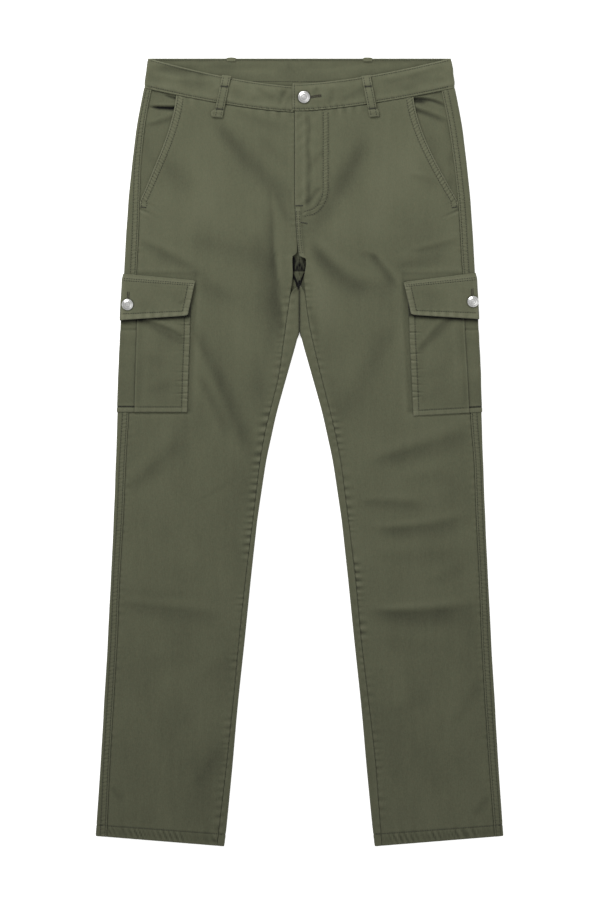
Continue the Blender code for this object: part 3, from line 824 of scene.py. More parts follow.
def inseam_curl(name, run):
    """x and z round a back's inner edge and over its lip to the inseam, and the way gone on the lip."""
    inner, turn, half = at("inner", run), at("turn", run), at("top", run) / 2
    rise = np.where(run <= CROTCH, at("lift", run), 0)
    angle = math.pi * np.maximum(turn, FLAT_TURN)
    bend = math.pi * half / angle
    closed = (inner + GAP / 2 + LEGS_TOUCH) * (1 - smoothstep((run - LEGS_PART) / 13))
    touching = np.where(run > CROTCH, np.clip(closed, 0, 4), 0)
    start = inner + GAP / 2 - touching + bend * np.sin(np.minimum(angle, math.pi / 2))
    lip_length = np.maximum(inseam(name, run) - inner + touching - GAP - half, 0)
    lip_length = lip_length * smoothstep((turn - 0.5) / 0.5)
    arc = math.pi * half * np.linspace(0, 1, 11)[None, :]
    shares = np.array((0.2, 0.45, 0.65, 0.78, 0.88, 0.95, 1))[None, :]
    travelled = np.concatenate((arc, math.pi * half + lip_length * shares), axis=1)
    turned = np.minimum(travelled / bend, angle)
    straight = np.maximum(travelled - math.pi * half, 0)
    x = start - bend * np.sin(turned) - straight * np.cos(angle)
    return x, rise + bend - bend * np.cos(turned) + straight * np.sin(angle), straight


def hollow_between(x, down, run, signed):
    """How much painted shade darkens the cloth between the legs: a rough hollow, the seam's V below it, a
    black notch, and the line where the legs touch.
    """
    from_middle = np.abs(signed + 1.6)
    hollow = 1.5 * smoothstep((down - 252) / 30) * (1 - smoothstep((down - 288.5) / 1.5))
    hollow = hollow + 1.1 * window(down, 267, 291, 2) * bell(signed + 7.8, 1.3)
    notch = smoothstep((9.2 - from_middle - 0.36 * (down - 291)) / 1.2)
    veiled = smoothstep((7.4 - from_middle - 0.5 * (down - 291)) / 1.2)
    below = smoothstep((down - 289.5) / 1.5)
    hollow = hollow + below * notch * mix(2.2, 0.3 + 0.03 * (down - 290), veiled)
    hollow = hollow - 0.5 * window(run, 258, 300, 4) * noise(85, 3 * x, 2 * down, 8)
    hollow = hollow + 0.9 * window(run, 314, 378, 5) * bell(x, 1.6)
    return hollow * (x < 16)


def add_back(name, side):
    """Back panel: flat underneath, folded up round both edges as far as the front's seams."""
    run = np.concatenate((PANEL_TOP, np.arange(CORNER_DROP + 3.8, HEM_SEAM - 4, 1.55), PANEL_HEM))[:, None]
    seam, fold_start, radius = side_seam(name, run) + GAP / 2, fold_end(run), fold_radius(run)

    # Lip from the side seam to the fold, round the fold, along the underside and round the inner edge.
    near = seam + np.array((0, 0.4, 0.9, 1.6, 2.4, 3.2, 4.2))
    lip = np.concatenate((near, mix(near[:, -1:], fold_start, np.linspace(0, 1, 7)[1:])), axis=1)
    cosines, sines = half_turn(11)
    fold_x = fold_start + radius * cosines[1:]
    fold_z = at("lift", run) + radius + radius * sines[1:]
    curl_x, curl_z, straight = inseam_curl(name, run)
    under_x = mix(fold_x[:, -1:], curl_x[:, :1], np.linspace(0, 1, 20)[None, 1:-1])
    x = np.concatenate((lip, fold_x, under_x, curl_x), axis=1)
    z = np.concatenate((at("top", run) + 0 * lip, fold_z, back_lift(run, under_x), curl_z), axis=1)
    n_lip, n_fold, n_curl = lip.shape[1], fold_x.shape[1], curl_x.shape[1]
    n_outer = n_lip + n_fold
    n_top = n_lip + n_fold // 2
    on_front = np.zeros(x.shape)
    on_front[:, :n_top] = 1
    on_front[:, n_top:n_outer] = np.linspace(1, 0, n_outer - n_top)
    run = np.broadcast_to(run, x.shape)
    down = level(name, x, run, on_front)

    # Relief: the felled side seam with its two rows, and the plain inseam edge.
    relief = np.zeros(x.shape)
    from_seam = np.maximum.accumulate(x[:, :n_outer] - seam, axis=1)
    lip_down = down[:, :n_outer]
    row = np.minimum(LIP_ROWS[1], (fold_start - seam) - 0.2)
    rungs = ladder(71 + side, lip_down - 0.25 * from_seam, 5.3, 0.34)
    fells = rolled(from_seam, 0.7, 0.7) + 0.35 * bell(from_seam, 12)
    fells = fells + rungs * window(from_seam, LIP_ROWS[0], row, 1.4)
    fells = fells + groove(from_seam, LIP_ROWS[0], 0.42) + groove(from_seam, row, 0.36, 0.9)
    waves = 0.25 * noise(73, 0 * lip_down, lip_down, 31)
    relief[:, :n_outer] = (fells + waves) * np.linspace(1, 0, n_outer) ** 0.3

    curl_down = down[:, -n_curl:]
    from_edge = np.maximum(straight[:, -1:] - straight, 0)
    on_lip = np.clip(straight / 3, 0, 1)
    curled = rolled(from_edge, 0.6, 0.8) * on_lip
    curled += puckers(81 + side, curl_down, from_edge, 12.2, 12, 0.22) * on_lip
    crumpled = 0.5 * on_lip * noise(83, x[:, -n_curl:] * 3, curl_down, 12)
    relief[:, -n_curl:] = curled + window(run[:, -n_curl:], 262, 330, 12) * (0.1 + crumpled)

    relief += groove(HEM_SEAM - run, 0, 0.4, 1.1) + rolled(LEG_END - run, 0.5, 0.7)
    relief += rolled(run - CORNER_DROP, 0.5, 1.1)
    z = np.maximum(z, 0)
    relief = np.where(z < 0.3, np.minimum(relief, 0), relief)
    shade = -hollow_between(x, down, run, side * x) - 0.3 * np.exp(-(run - CORNER_DROP) / 1.6)
    add_cloth("back_" + name, side, x, down, z, relief, panel_wall(run), shade)


# Waistband.


def add_waistband(name, side):
    """Half the waistband: along the front from its end, round the corner, and to the centre back."""
    front_end = LAP_END if name == "left" else EXTENSION_END
    radius = (BAND_TOP - WAIST_LIFT) / 2
    corner = CORNER_TOP - radius
    front_x = stations(front_end, corner, 1.7, (0, 0.4, 0.9, 1.6, 2.4, 3.4))
    cosines, sines = half_turn(BAND_FOLD_COLUMNS + 1)
    back_x = stations(0, corner, 3, (0, 0.12))[::-1][1:]
    path_x = np.concatenate((front_x, corner + radius * cosines[1:], back_x))[:, None]
    front_z = np.full(front_x.shape, BAND_TOP)
    if name == "right":
        sunk = smoothstep((EXTENSION_SINKS_FROM - front_x) / (EXTENSION_SINKS_FROM - EXTENSION_FROM))
        front_z -= sunk * (BAND_WALL + GAP)
    fold_z = WAIST_LIFT + radius + radius * sines[1:]
    z = np.concatenate((front_z, fold_z, np.full(back_x.shape, WAIST_LIFT)))[:, None]
    on_front = (np.ones(front_x.shape), np.linspace(1, 0, BAND_FOLD_COLUMNS), 0 * back_x)
    on_front = np.concatenate(on_front)[:, None]

    dip = FRONT_DIP[name]
    edge = mix(BACK_EDGE, waist_dip(path_x, dip.edge, BACK_EDGE, CORNER_TOP), on_front)
    seam = mix(CORNER_DROP, waist_dip(path_x, dip.seam, CORNER_DROP, CORNER_LOW), on_front) - GAP / 2
    fine_top, fine_foot = (0, 0.4, 0.9, 1.5, 2.2, 2.9, 3.8), (0, 0.4, 0.9, 1.8, 2.8, 3.8)
    share = stations(0, BAND_WIDTH, 2.2, fine_top, fine_foot)[None, :] / BAND_WIDTH
    x = path_x * mix(1, mix(CORNER_TOP, CORNER_LOW, share) / CORNER_TOP, ramp(path_x, 90, CORNER_TOP))
    down = mix(edge, seam, share)
    from_top, from_end = share * BAND_WIDTH + 0 * x, x - front_end
    from_seam = BAND_WIDTH - from_top
    inside_out = on_front < 0.5
    settled = np.where(inside_out, smoothstep((x - 2) / 12), 1)

    folds = creased(BAND_CREASES, side * x, down)
    folds += 0.5 * noise(101, side * x, down * 2, 34) + 0.34 * noise(102, side * x, down * 1.5, 12)
    folds *= 1.5 * smoothstep(from_top / 5) * smoothstep(from_seam / 7) * settled
    folds = np.where(inside_out, -0.7 * folds, folds)
    relief = 0.35 * window(from_top, 4, 31, 6)
    relief += rolled(from_top, 1.0, 0.7) + rolled(from_seam, 1.0, 0.8)
    relief += groove(from_top, BAND_ROWS[0], 0.32) + groove(from_top, BAND_ROWS[1], 0.42, 0.9)
    gathers = puckers(111, side * x, from_top, 6.5, 3.4, 0.14)
    gathers = gathers + puckers(113, side * x + 0.5 * from_seam, from_seam, 7.5, 4.2, 0.24)
    relief += gathers * settled
    shade = -1.0 * np.exp(-from_seam / 0.7) + 0.25 * window(from_seam, 0.7, 2.4, 0.6)
    shade = shade + 0.15 * window(from_top, 0.3, 1.8, 0.6) - 0.27 * inside_out
    if name == "left":
        relief += rolled(from_end, 0.9, 0.7) + groove(from_end, LAP_ROW, 0.35)
        from_button = np.hypot(x - WAIST_BUTTON.x, down - WAIST_BUTTON.down)
        relief -= 0.5 * bell(from_button, 9) * (on_front > 0.9)
        shade -= 0.9 * bell(from_button - WAIST_BUTTON.radius, 1.2) * (on_front > 0.9)
    relief = np.where(inside_out, relief * 0.7, relief)
    add_cloth(
        "waistband_" + name, side, x, down, z, relief, BAND_WALL, shade,
        folds,
    )


# Pockets.


def add_facing(name, side):
    """Hip pocket facing, behind the mouth, crumpled at its top."""
    rows = np.arange(CORNER_DROP + 0.3, MOUTH_FOOT + 2, 1.2)[:, None]
    start = mouth(name, rows) - FACING_UNDER_FRONT
    end = side_seam(name, rows) + FACING_UNDER_SEAM
    x = mix(start, end, np.linspace(0, 1, 34)[None, :])
    run = np.broadcast_to(rows, x.shape)
    down = level(name, x, run)
    folds = creased(FACING_CREASES, side * x, down)
    relief = 0.35 * noise(121, side * x, down, 17) - 0.25
    shade = np.minimum(0, 0.42 * folds + 0.3) - 0.12 - 0.25 * np.exp(-(run - CORNER_DROP) / 4)
    add_cloth(
        "hip_pocket_facing_" + name, side, x, down, at("top", run) - WALL - GAP, relief, WALL,
        shade, np.maximum(folds, -2.6),
    )


def wrapped(run, in_front, behind, stand_off):
    """x and z of a layer on the leg, from its front, round the side fold, to its back.

    stand_off is its distance from the leg in front, at the fold and behind. The third result is one
    number for each column: 1 in front, and down to 0 behind.
    """
    lift, top, radius, end = at("lift", run), at("top", run), fold_radius(run), fold_end(run)
    cosines, sines = half_turn(FOLD_COLUMNS + 2)
    reach = radius + np.interp(np.linspace(0, 1, FOLD_COLUMNS), (0, 0.5, 1), stand_off)[None, :]
    x = np.concatenate((end - in_front, end + reach * cosines[1:-1], end - behind), axis=1)
    front_z, back_z = top + stand_off[0] + 0 * in_front, lift - stand_off[2] + 0 * behind
    z = np.concatenate((front_z, lift + radius + reach * sines[1:-1], back_z), axis=1)
    shares = (np.ones(in_front.shape[1]), np.linspace(1, 0, FOLD_COLUMNS), np.zeros(behind.shape[1]))
    return x, np.maximum(z, 0), np.concatenate(shares)


def in_front_only(distance, x, elsewhere):
    """A distance on the columns in front, and a constant on the rest."""
    rest = np.full((len(x), x.shape[1] - distance.shape[1]), elsewhere)
    return np.concatenate((distance, rest), axis=1)


def pocket_down(name, x, run):
    """down of a point of the pocket, whose foot slopes."""
    slope = ramp(at("outer", run) - x, 0, BODY_REACH[name][1])
    return run + BODY_DROP[name] * ramp(run, BODY_TOP, BODY_FOOT) * slope


def flap_down(name, x, run):
    """down of a point of the flap, whose top and foot slope."""
    flap = FLAPS[name]
    slope = ramp(at("outer", run) - x, 0, FLAP_REACH[0])
    return run + mix(flap.top_slope, flap.foot_slope, ramp(run, flap.top, flap.foot)) * slope


def flap_foot(name, x, run):
    """down of the flap's lower edge above a point of the pocket."""
    flap = FLAPS[name]
    return flap.foot + flap.foot_slope * ramp(at("outer", run) - x, 0, FLAP_REACH[0])


def add_cargo_pocket(name, side):
    """Cargo pocket body: a pleat along the side seam, and edges held by a row of stitches."""
    fine_foot = (0, 0.4, 0.9, 1.6, 2.6, 4, 5.5, 6.3, 7.1, 8)
    run = stations(BODY_TOP, BODY_FOOT, 1.1, (0,), fine_foot)[:, None]
    share = ramp(run, BODY_TOP, BODY_FOOT)
    reach = mix(*BODY_REACH[name], share)
    to_fold = mix(*PLEAT[name], share)
    # Distances in front of the fold's end, from the inboard edge to the fold, closer round the pleat.
    from_edge = np.array((0, 0.4, 0.9, 1.7, 3, 4.5, 6, 7, 7.8, 8.6, 9.6, 11))[None, :]
    pleat = np.array((3, 1.8, 1.1, 0.5, 0, -0.5, -1.1, -2, -3.4))[None, :] + to_fold
    between = mix(reach - from_edge[0, -1], pleat[:, :1], np.linspace(0, 1, 24)[None, 1:-1])
    tail = pleat[:, -1:] * np.linspace(1, 0, 8)[None, 1:]
    in_front = np.concatenate((reach - from_edge, between, pleat, tail), axis=1)
    behind = np.linspace(0, REACH_BEHIND, 12)[None, 1:] + 0 * run
    x, z, on_top = wrapped(run, in_front, behind, (BODY_OUT + 0.5, BODY_OUT - 0.4, BODY_OUT))
    down = pocket_down(name, x, run)
    inboard = in_front_only(reach - in_front, x, FAR)
    to_pleat = in_front_only(in_front - to_fold, x, -FAR)
    foot = BODY_FOOT - run + 0 * x

    edges = smoothstep(inboard / 12) * smoothstep(foot / 12) * on_top
    folds = (creased(POCKET_CREASES, side * x, down) + 0.5 * noise(131, side * x, down, 30)) * edges
    relief = 0.8 * smoothstep(inboard / 26) * smoothstep(foot / 26) * smoothstep((to_pleat + 2) / 20)
    relief += rolled(inboard, 0.9, 0.6) + rolled(foot, 0.9, 0.6)
    relief += groove(inboard, POCKET_ROW, 0.4, 1.0) + groove(foot, POCKET_FOOT_ROW, 0.4, 1.0)
    relief += tucks(135 + side, down, inboard, FLAP_FOOT + 8, BODY_FOOT - 12, 11, 1.2)
    relief += puckers(137 + side, down, inboard - 4, 11, 6, 0.16)
    relief += tucks(139 + side, side * x + 300, foot, 20, 560, 5, 0.25)
    # The pleat: its edge lies over a lower strip, which has a crease near its top.
    strip = smoothstep((0.4 - to_pleat) / 0.8)
    relief += 0.25 * bell(to_pleat - 1.2, 1.6) - 0.85 * strip
    relief += strip * (puckers(141, down, 0 * down, 24, 1, 0.2) + groove(down, 367, 0.5, 2))
    relief += strip * groove(foot, 7.6, 0.5, 1.2)
    relief = np.where(on_top > 0.99, relief, np.minimum(relief, 0) * on_top)
    shadow = bell(np.maximum(down - flap_foot(name, x, run), 0), 3.6)
    shade = -0.03 - 0.6 * bell(to_pleat, 0.8) - 1.7 * shadow * on_top
    shade = shade + 0.26 * window(inboard, 0.8, 7, 1.5) + 0.2 * window(foot, 0.8, 6.4, 1.5) * on_top
    shade = shade - 1.0 * strip * bell(foot - 7.8, 0.9) * on_top
    add_cloth(
        "cargo_pocket_" + name, side, x, down, z, relief, WALL, shade,
        np.maximum(folds, -1.6),
    )


def flap_rounding(inboard, foot, top):
    """How far the flap's inboard corners are rounded off, downwards."""
    return 1.2 * np.exp(-((inboard + top) / 2.0)) - 1.6 * np.exp(-((inboard + foot) / 2.2))


def add_cargo_flap(name, side):
    """Flap over the pocket's top: a doubled, topstitched piece that stands off along its foot."""
    flap = FLAPS[name]
    height = flap.foot - flap.top
    away = stations(0, height, 1.2, (0, 0.4, 0.9, 1.6, 2.6), (0, 0.4, 0.9, 1.6, 2.6, 4))[:, None]
    share = away / height
    run = mix(flap.top, flap.foot, share)
    reach = mix(*FLAP_REACH, share)
    from_edge = np.array((0, 0.4, 0.9, 1.6, 2.6, 4, 5.5, 7, 7.8, 8.6, 9.6, 11))[None, :]
    between = mix(reach - from_edge[0, -1], 0, np.linspace(0, 1, 46)[None, 1:])
    in_front = np.concatenate((reach - from_edge, between), axis=1)
    behind = mix(0, reach - FLAP_REACH[0] + REACH_BEHIND, np.linspace(0, 1, 12)[None, 1:])
    x, z, on_top = wrapped(run, in_front, behind, (FLAP_OUT + 1.4, FLAP_OUT - 1.4, FLAP_OUT))
    inboard = in_front_only(reach - in_front, x, FAR)
    foot, top = height - away + 0 * x, away + 0 * x
    down = flap_down(name, x, run) + flap_rounding(inboard, foot, top)
    button = CARGO_BUTTONS[name]
    from_button = np.hypot(x - button.x, down - button.down)

    edges = smoothstep(inboard / 10) * smoothstep(foot / 10) * smoothstep(top / 12) * on_top
    folds = (creased(FLAP_CREASES, side * x, down) + 0.5 * noise(143, side * x, down, 26)) * edges
    relief = 0.5 * smoothstep(inboard / 20) * smoothstep(foot / 16) * smoothstep((top - 8) / 12)
    relief += 0.3 - 2.2 * (1 - smoothstep(top / 9))
    relief += 3.0 * bell(foot, 10) + 1.2 * bell(inboard, 9) * smoothstep(top / 16)
    relief += rolled(inboard, 1.0, 0.7) + rolled(foot, 1.0, 0.7) + rolled(top, 0.6, 0.6)
    relief += groove(top, FLAP_TOP_ROWS[0], 0.3) + groove(top, FLAP_TOP_ROWS[1], 0.3)
    relief += groove(inboard, FLAP_ROW, 0.35, 0.9) * (top > 9) + groove(foot, FLAP_ROW, 0.35, 0.9)
    relief += tucks(145 + side, down, inboard, flap.top + 14, flap.foot - 12, 9, 0.9)
    relief += puckers(147 + side, side * x, foot - 3, 13, 7, 0.3)
    relief -= 0.7 * bell(from_button, 9)
    relief = np.where(on_top > 0.99, relief, np.minimum(relief, 0) * on_top)
    banded = window(top, 0.8, 6, 1.5) + window(foot, 0.8, 7.6, 1.5) + window(inboard, 0.8, 7.6, 1.5)
    shade = 0.1 + 0.32 * np.minimum(banded, 1) * on_top
    shade = shade - 0.9 * bell(from_button - button.radius, 1.2) * (on_top > 0)
    add_cloth(
        "cargo_flap_" + name, side, x, down, z, relief, WALL,
        shade, folds,
    )


# Belt loops.

FrontLoop = namedtuple("FrontLoop", "x down x_foot down_foot")
FRONT_LOOPS = {"right": FrontLoop(98, 25, 110, 82), "left": FrontLoop(89.5, 25, 100.5, 81)}
# How far a front loop stands off at shares of its length.
LOOP_BOW = (
    (0, 0.2), (0.06, 1.0), (0.18, 1.2), (0.27, 0.3), (0.5, 1.6), (0.72, 0.9), (0.8, 0.2), (0.9, 1.4),
    (1, 0.7),
)
LOOP_FLARE = {"right": 0.85, "left": 0.3}  # how much wider the turned-under foot is, on its outer side
LOOP_TACKS = (0.27, 0.8)  # shares of its length
LOOP_TOP_TACK = 15.5
LOOP_HALF_WIDTH = 6
LOOP_HALF = (0, 1.5, 3, 3.8, 4.6, 5.2, 5.7, LOOP_HALF_WIDTH)
BACK_LOOP_HALF = (0, 1.5, 3.4, 4.2, 5, 5.6, LOOP_HALF_WIDTH)
BACK_LOOP_X = 92
BACK_LOOP_FOOT = 55
BACK_LOOP_TAB = 6


def both_ways(half):
    """Distances to both sides of a strip's middle, as one row."""
    half = np.array(half, float)
    return np.concatenate((-half[:0:-1], half))[None, :]


def strip_relief(across, along, length, tacks):
    """A folded strip: rounded edges, two rows of stitches and tacked ends."""
    distance = LOOP_HALF_WIDTH - np.abs(across)
    relief = rolled(distance, 0.7, 0.6) + groove(distance, 2.2, 0.28, 0.6) + 0 * along
    relief += puckers(151, along, 0 * along, 6, 1, 0.12)
    for tack in tacks:
        relief += groove(along, tack, 0.55, 1.3)
    return relief + rolled(along, 0.6, 0.7) + rolled(length - along, 0.8, 0.8)


def add_front_loop(name, side):
    """Front belt loop, bowed over the waistband and tacked at both ends."""
    loop = FRONT_LOOPS[name]
    length = math.hypot(loop.x_foot - loop.x, loop.down_foot - loop.down)
    along = stations(0, length, 1.3, (0, 0.4, 0.9, 1.6), (0, 0.4, 0.9, 1.6))[:, None]
    share = along / length
    across = both_ways(LOOP_HALF)
    shares, heights = zip(*LOOP_BOW)
    bow_at = np.linspace(0, 1, 80)
    bow = blur(np.interp(bow_at, shares, heights), 3)
    z = mix(BAND_TOP + 0.2, at("top", 60), ramp(share, 0.68, 1))
    z = z + GAP + LOOP_WALL + 0.4 + np.interp(share, bow_at, bow)
    lean = (loop.x_foot - loop.x) / length
    flare = LOOP_FLARE[name] * smoothstep((share - 0.8) / 0.08)
    flare = flare * (1 - 0.5 * smoothstep((share - 0.9) / 0.1))
    widening = 1 + flare * (across > 0) + 0.05 * (1 - smoothstep(share / 0.1))
    x = mix(loop.x, loop.x_foot, share) + across * widening
    down = mix(loop.down, loop.down_foot, share) - across * lean * 0.6
    tacks = (LOOP_TOP_TACK, LOOP_TACKS[1] * length)
    relief = strip_relief(across, along, length, tacks)
    shade = 0.45 * bell(along - 8, 4.5) - 0.25 * sum(bell(along - tack, 1.2) for tack in tacks)
    add_cloth(
        "belt_loop_front_" + name, side, x, down, z, relief, LOOP_WALL,
        shade,
    )


def add_back_loop(name, side):
    """Back belt loop: under the back band, and turned over its top edge."""
    over = WAIST_LIFT + BAND_WALL + GAP + LOOP_WALL
    radius = over / 2
    cosines, sines = half_turn(11)
    tab, under = np.linspace(BACK_LOOP_TAB, radius, 6), np.linspace(radius, BACK_LOOP_FOOT, 34)
    down = np.concatenate((tab, radius - radius * cosines[1:-1], under))[:, None]
    z = np.concatenate((0 * tab + over, radius + radius * sines[1:-1], 0 * under))[:, None]
    steps = np.hypot(np.diff(down, axis=0), np.diff(z, axis=0))
    along = np.concatenate((np.zeros((1, 1)), np.cumsum(steps, axis=0)))
    length = along[-1, 0]
    across = both_ways(BACK_LOOP_HALF)
    relief = strip_relief(across, along, length, (5.0, length - 4))
    relief = np.where(z < 0.3, np.minimum(relief, 0), np.minimum(relief, 0.1))
    add_cloth(
        "belt_loop_back_" + name, side, BACK_LOOP_X + across, down, z, relief, LOOP_WALL,
    )


# Buttons.

Place = namedtuple("Place", "x down radius")
WAIST_BUTTON = Place(6.1, 54.2, 8.3)
CARGO_BUTTONS = {"right": Place(231.7, 334, 7.8), "left": Place(233.8, 330, 7.8)}
BUTTON_TURNS = 72
# Outline from the shank to the crown's middle: share of the radius, height, and tone, which is painted
# shade in the contact ring at its foot and in the grooves, and painted highlight on the ridges.
BUTTON_OUTLINE = (
    (0.45, -1.2, 0), (0.45, 0.5, -0.9), (0.86, 0.55, -1.0), (0.95, 0.75, -0.9), (1.0, 1.2, -0.6),
    (0.985, 1.7, -0.2), (0.93, 2.1, 0.2), (0.86, 2.38, 0.2), (0.80, 2.5, 0.0), (0.76, 2.4, -0.4),
    (0.72, 2.5, -0.3), (0.68, 2.64, 0.1), (0.60, 2.86, 0.2), (0.50, 3.02, 0.1), (0.44, 3.06, -0.1),
    (0.40, 3.0, -0.4), (0.36, 3.02, -0.2), (0.30, 3.12, 0.2), (0.18, 3.2, 0.2), (0.08, 3.24, 0.1),
)


def tube_faces(rings, around):
    """Faces of a stack of rings of points, capped at both ends."""
    k = np.arange(around)
    after = (k + 1) % around
    quads = [np.stack((r + k, r + around + k, r + around + after, r + after), axis=-1).tolist()
             for r in around * np.arange(rings - 1)]
    return sum(quads, []) + [k.tolist(), ((rings - 1) * around + k[::-1]).tolist()]


def add_button(name, side, place, z):
    """Domed metal button with a turned rim and an inner ring, on its shank."""
    turns = np.arange(BUTTON_TURNS) * math.tau / BUTTON_TURNS
    points, tones = [], []
    for share, height, tone in BUTTON_OUTLINE:
        reach = share * place.radius * (1 + 0.004 * np.sin(5 * turns + height))
        x, down = side * place.x + reach * np.cos(turns), place.down + reach * np.sin(turns)
        points.append(np.stack((x, LENGTH / 2 - down, np.full(BUTTON_TURNS, z + height)), axis=-1) * MM)
        tones += [tone] * BUTTON_TURNS
    faces = tube_faces(len(BUTTON_OUTLINE), BUTTON_TURNS)
    obj = new_mesh(name + "_metal", np.concatenate(points), faces, SILVER, tones)
    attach(obj, "root")
    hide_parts(name)


# Threads.

Row = namedtuple(
    "Row", "cloth path pitch length turned below",
    defaults=(None, STITCH_PITCH, STITCH_LENGTH, False, False),
)
RAY_FROM = 40
THREAD_SIDES = 5
# Rings along a stitch: share of its length, share of its radius, and radii above the cloth.
THREAD_RINGS = ((-0.5, 0.35, -0.5), (-0.26, 1, 0.35), (0.26, 1, 0.35), (0.5, 0.35, -0.5))
STEEPEST = 1.5  # difference in height over which a stitch would hang in the air


def resampled(path, pitch):
    """Points and directions along a path of (x, down), pitch apart."""
    run = np.concatenate(([0], np.cumsum(np.linalg.norm(np.diff(path, axis=0), axis=1))))
    count = max(1, int(run[-1] / pitch))
    middles = (np.arange(count) + 0.5) * run[-1] / count

    def spots(ahead):
        return np.stack([np.interp(middles + ahead, run, path[:, k]) for k in (0, 1)], axis=-1)

    heading = spots(0.1) - spots(-0.1)
    return spots(0), heading / np.linalg.norm(heading, axis=1, keepdims=True)


def stitch_ends(row):
    """Both ends of each stitch of a row, dropped on its cloth, with the cloth's normals there."""
    spots, heading = resampled(row.path, row.pitch)
    if row.turned:
        heading = np.stack((-heading[:, 1], heading[:, 0]), axis=-1)
    up = -1 if row.below else 1
    for spot, ahead in zip(spots, heading):
        ends = []
        for x, down in (spot - 0.5 * row.length * ahead, spot + 0.5 * row.length * ahead):
            origin = Vector((x * MM, (LENGTH / 2 - down) * MM, up * RAY_FROM * MM))
            ends.append(shells[row.cloth].ray_cast(origin, Vector((0, 0, -up))))
        if ends[0][0] is None or ends[1][0] is None:
            continue
        low, high = np.array(ends[0][0]), np.array(ends[1][0])
        if abs(low[2] - high[2]) <= STEEPEST * MM:
            normal = np.array(ends[0][1] + ends[1][1])
            normal *= np.sign(normal[2]) * up
            yield low, high, normal / np.linalg.norm(normal)


def sew(name, rows, radius=STITCH_RADIUS, material=THREADS):
    """One mesh of all the stitches of some rows, each a short rounded thread sunk at its ends."""
    turns = np.arange(THREAD_SIDES)[:, None] * math.tau / THREAD_SIDES
    rings = []
    for row in rows:
        for low, high, normal in stitch_ends(row):
            along = high - low
            across = np.cross(normal, along)
            across /= np.linalg.norm(across)
            circle = np.cos(turns) * across + np.sin(turns) * normal
            for share, size, above in THREAD_RINGS:
                centre = (low + high) / 2 + share * along + normal * above * radius * MM
                rings.append(centre + circle * size * radius * MM)
    one = tube_faces(len(THREAD_RINGS), THREAD_SIDES)
    first = range(0, len(rings) * THREAD_SIDES, len(THREAD_RINGS) * THREAD_SIDES)
    faces = [[start + k for k in face[::-1]] for start in first for face in one]
    obj = new_mesh(name, np.concatenate(rings), faces, material)
    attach(obj, "root")


def path_of(side, x, down):
    x, down = np.broadcast_arrays(x, down)
    return np.stack((side * x, down), axis=-1)


def front_rows(name, side):
    cloth = "front_" + name
    run = np.arange(CORNER_DROP + 3, MOUTH_FOOT + 9, 2.0)
    for row in MOUTH_ROWS:
        x = mouth(name, run) - row / MOUTH_SLANT
        yield Row(cloth, path_of(side, x, level(name, x, run)))
    x = np.linspace(inseam(name, HEM_SEAM) + 1, side_seam(name, HEM_SEAM) - 1, 60)
    yield Row(cloth, path_of(side, x, level(name, x, HEM_SEAM)))
    if name == "left":
        for inset in (0, FLY_BAND):
            yield Row(cloth, fly_curve(inset))
        for inset in (1.6, 5.2):
            run = np.arange(FLY_END + 8, CROTCH + 4, 2.0)
            x = inseam(name, run) + inset
            yield Row(cloth, path_of(side, x, level(name, x, run)))


def back_rows(name, side):
    cloth = "back_" + name
    for top, foot in ((CORNER_DROP + 2, FLAP_TOP + 2), (BODY_FOOT - 2, LEG_END - 1)):
        run = np.arange(top, foot, 2.0)
        for row in LIP_ROWS:
            x = np.minimum(side_seam(name, run) + row, fold_end(run) - 0.2)
            yield Row(cloth, path_of(side, x, level(name, x, run)))
    # Hem, on both lips and underneath.
    run = HEM_SEAM
    inner, outer = at("inner", run), at("outer", run)
    for x in (
        np.linspace(side_seam(name, run) + 0.8, outer - 3.2, 8),
        np.linspace(inner + 3.2, inseam(name, run) - 0.8, 8),
    ):
        yield Row(cloth, path_of(side, x, level(name, x, run)))
    x = np.linspace(inner + 3.4, outer - 3.4, 60)
    yield Row(cloth, path_of(side, x, level(name, x, run, 0)), below=True)
    # Centre back, underneath.
    if name == "left":
        run = np.arange(CORNER_DROP + 3, CROTCH - 6, 3.0)
        for inset in (2, 8):
            yield Row(cloth, path_of(side, inset, level(name, 0 * run, run, 0)), below=True)


def band_rows(name, side):
    cloth = "waistband_" + name
    dip = FRONT_DIP[name]
    start = LAP_END + 1.5 if name == "left" else EXTENSION_FROM - 1
    x = np.linspace(start, CORNER_TOP - 3.5, 90)
    edge = waist_dip(x, dip.edge, BACK_EDGE, CORNER_TOP)
    seam = waist_dip(x, dip.seam, CORNER_DROP, CORNER_LOW) - GAP / 2
    for row in BAND_ROWS:
        yield Row(cloth, path_of(side, x, mix(edge, seam, row / BAND_WIDTH)))
    # Back band: its inner face above the front's edge, and its outside underneath.
    back = np.linspace(1, CORNER_TOP - 8, 80)
    for down in (3.6, 32.6):
        seen = back[waist_dip(back, dip.edge, BACK_EDGE, CORNER_TOP) > down + 0.6]
        yield Row(cloth, path_of(side, seen, down))
        yield Row(cloth, path_of(side, back, down + 3), below=True)
    if name == "left":
        edge = waist_dip(LAP_END, dip.edge, 0, CORNER_TOP)
        seam = waist_dip(LAP_END, dip.seam, 0, CORNER_LOW)
        yield Row(cloth, path_of(side, LAP_END + LAP_ROW, mix(edge, seam, np.linspace(0.07, 0.93, 12))))


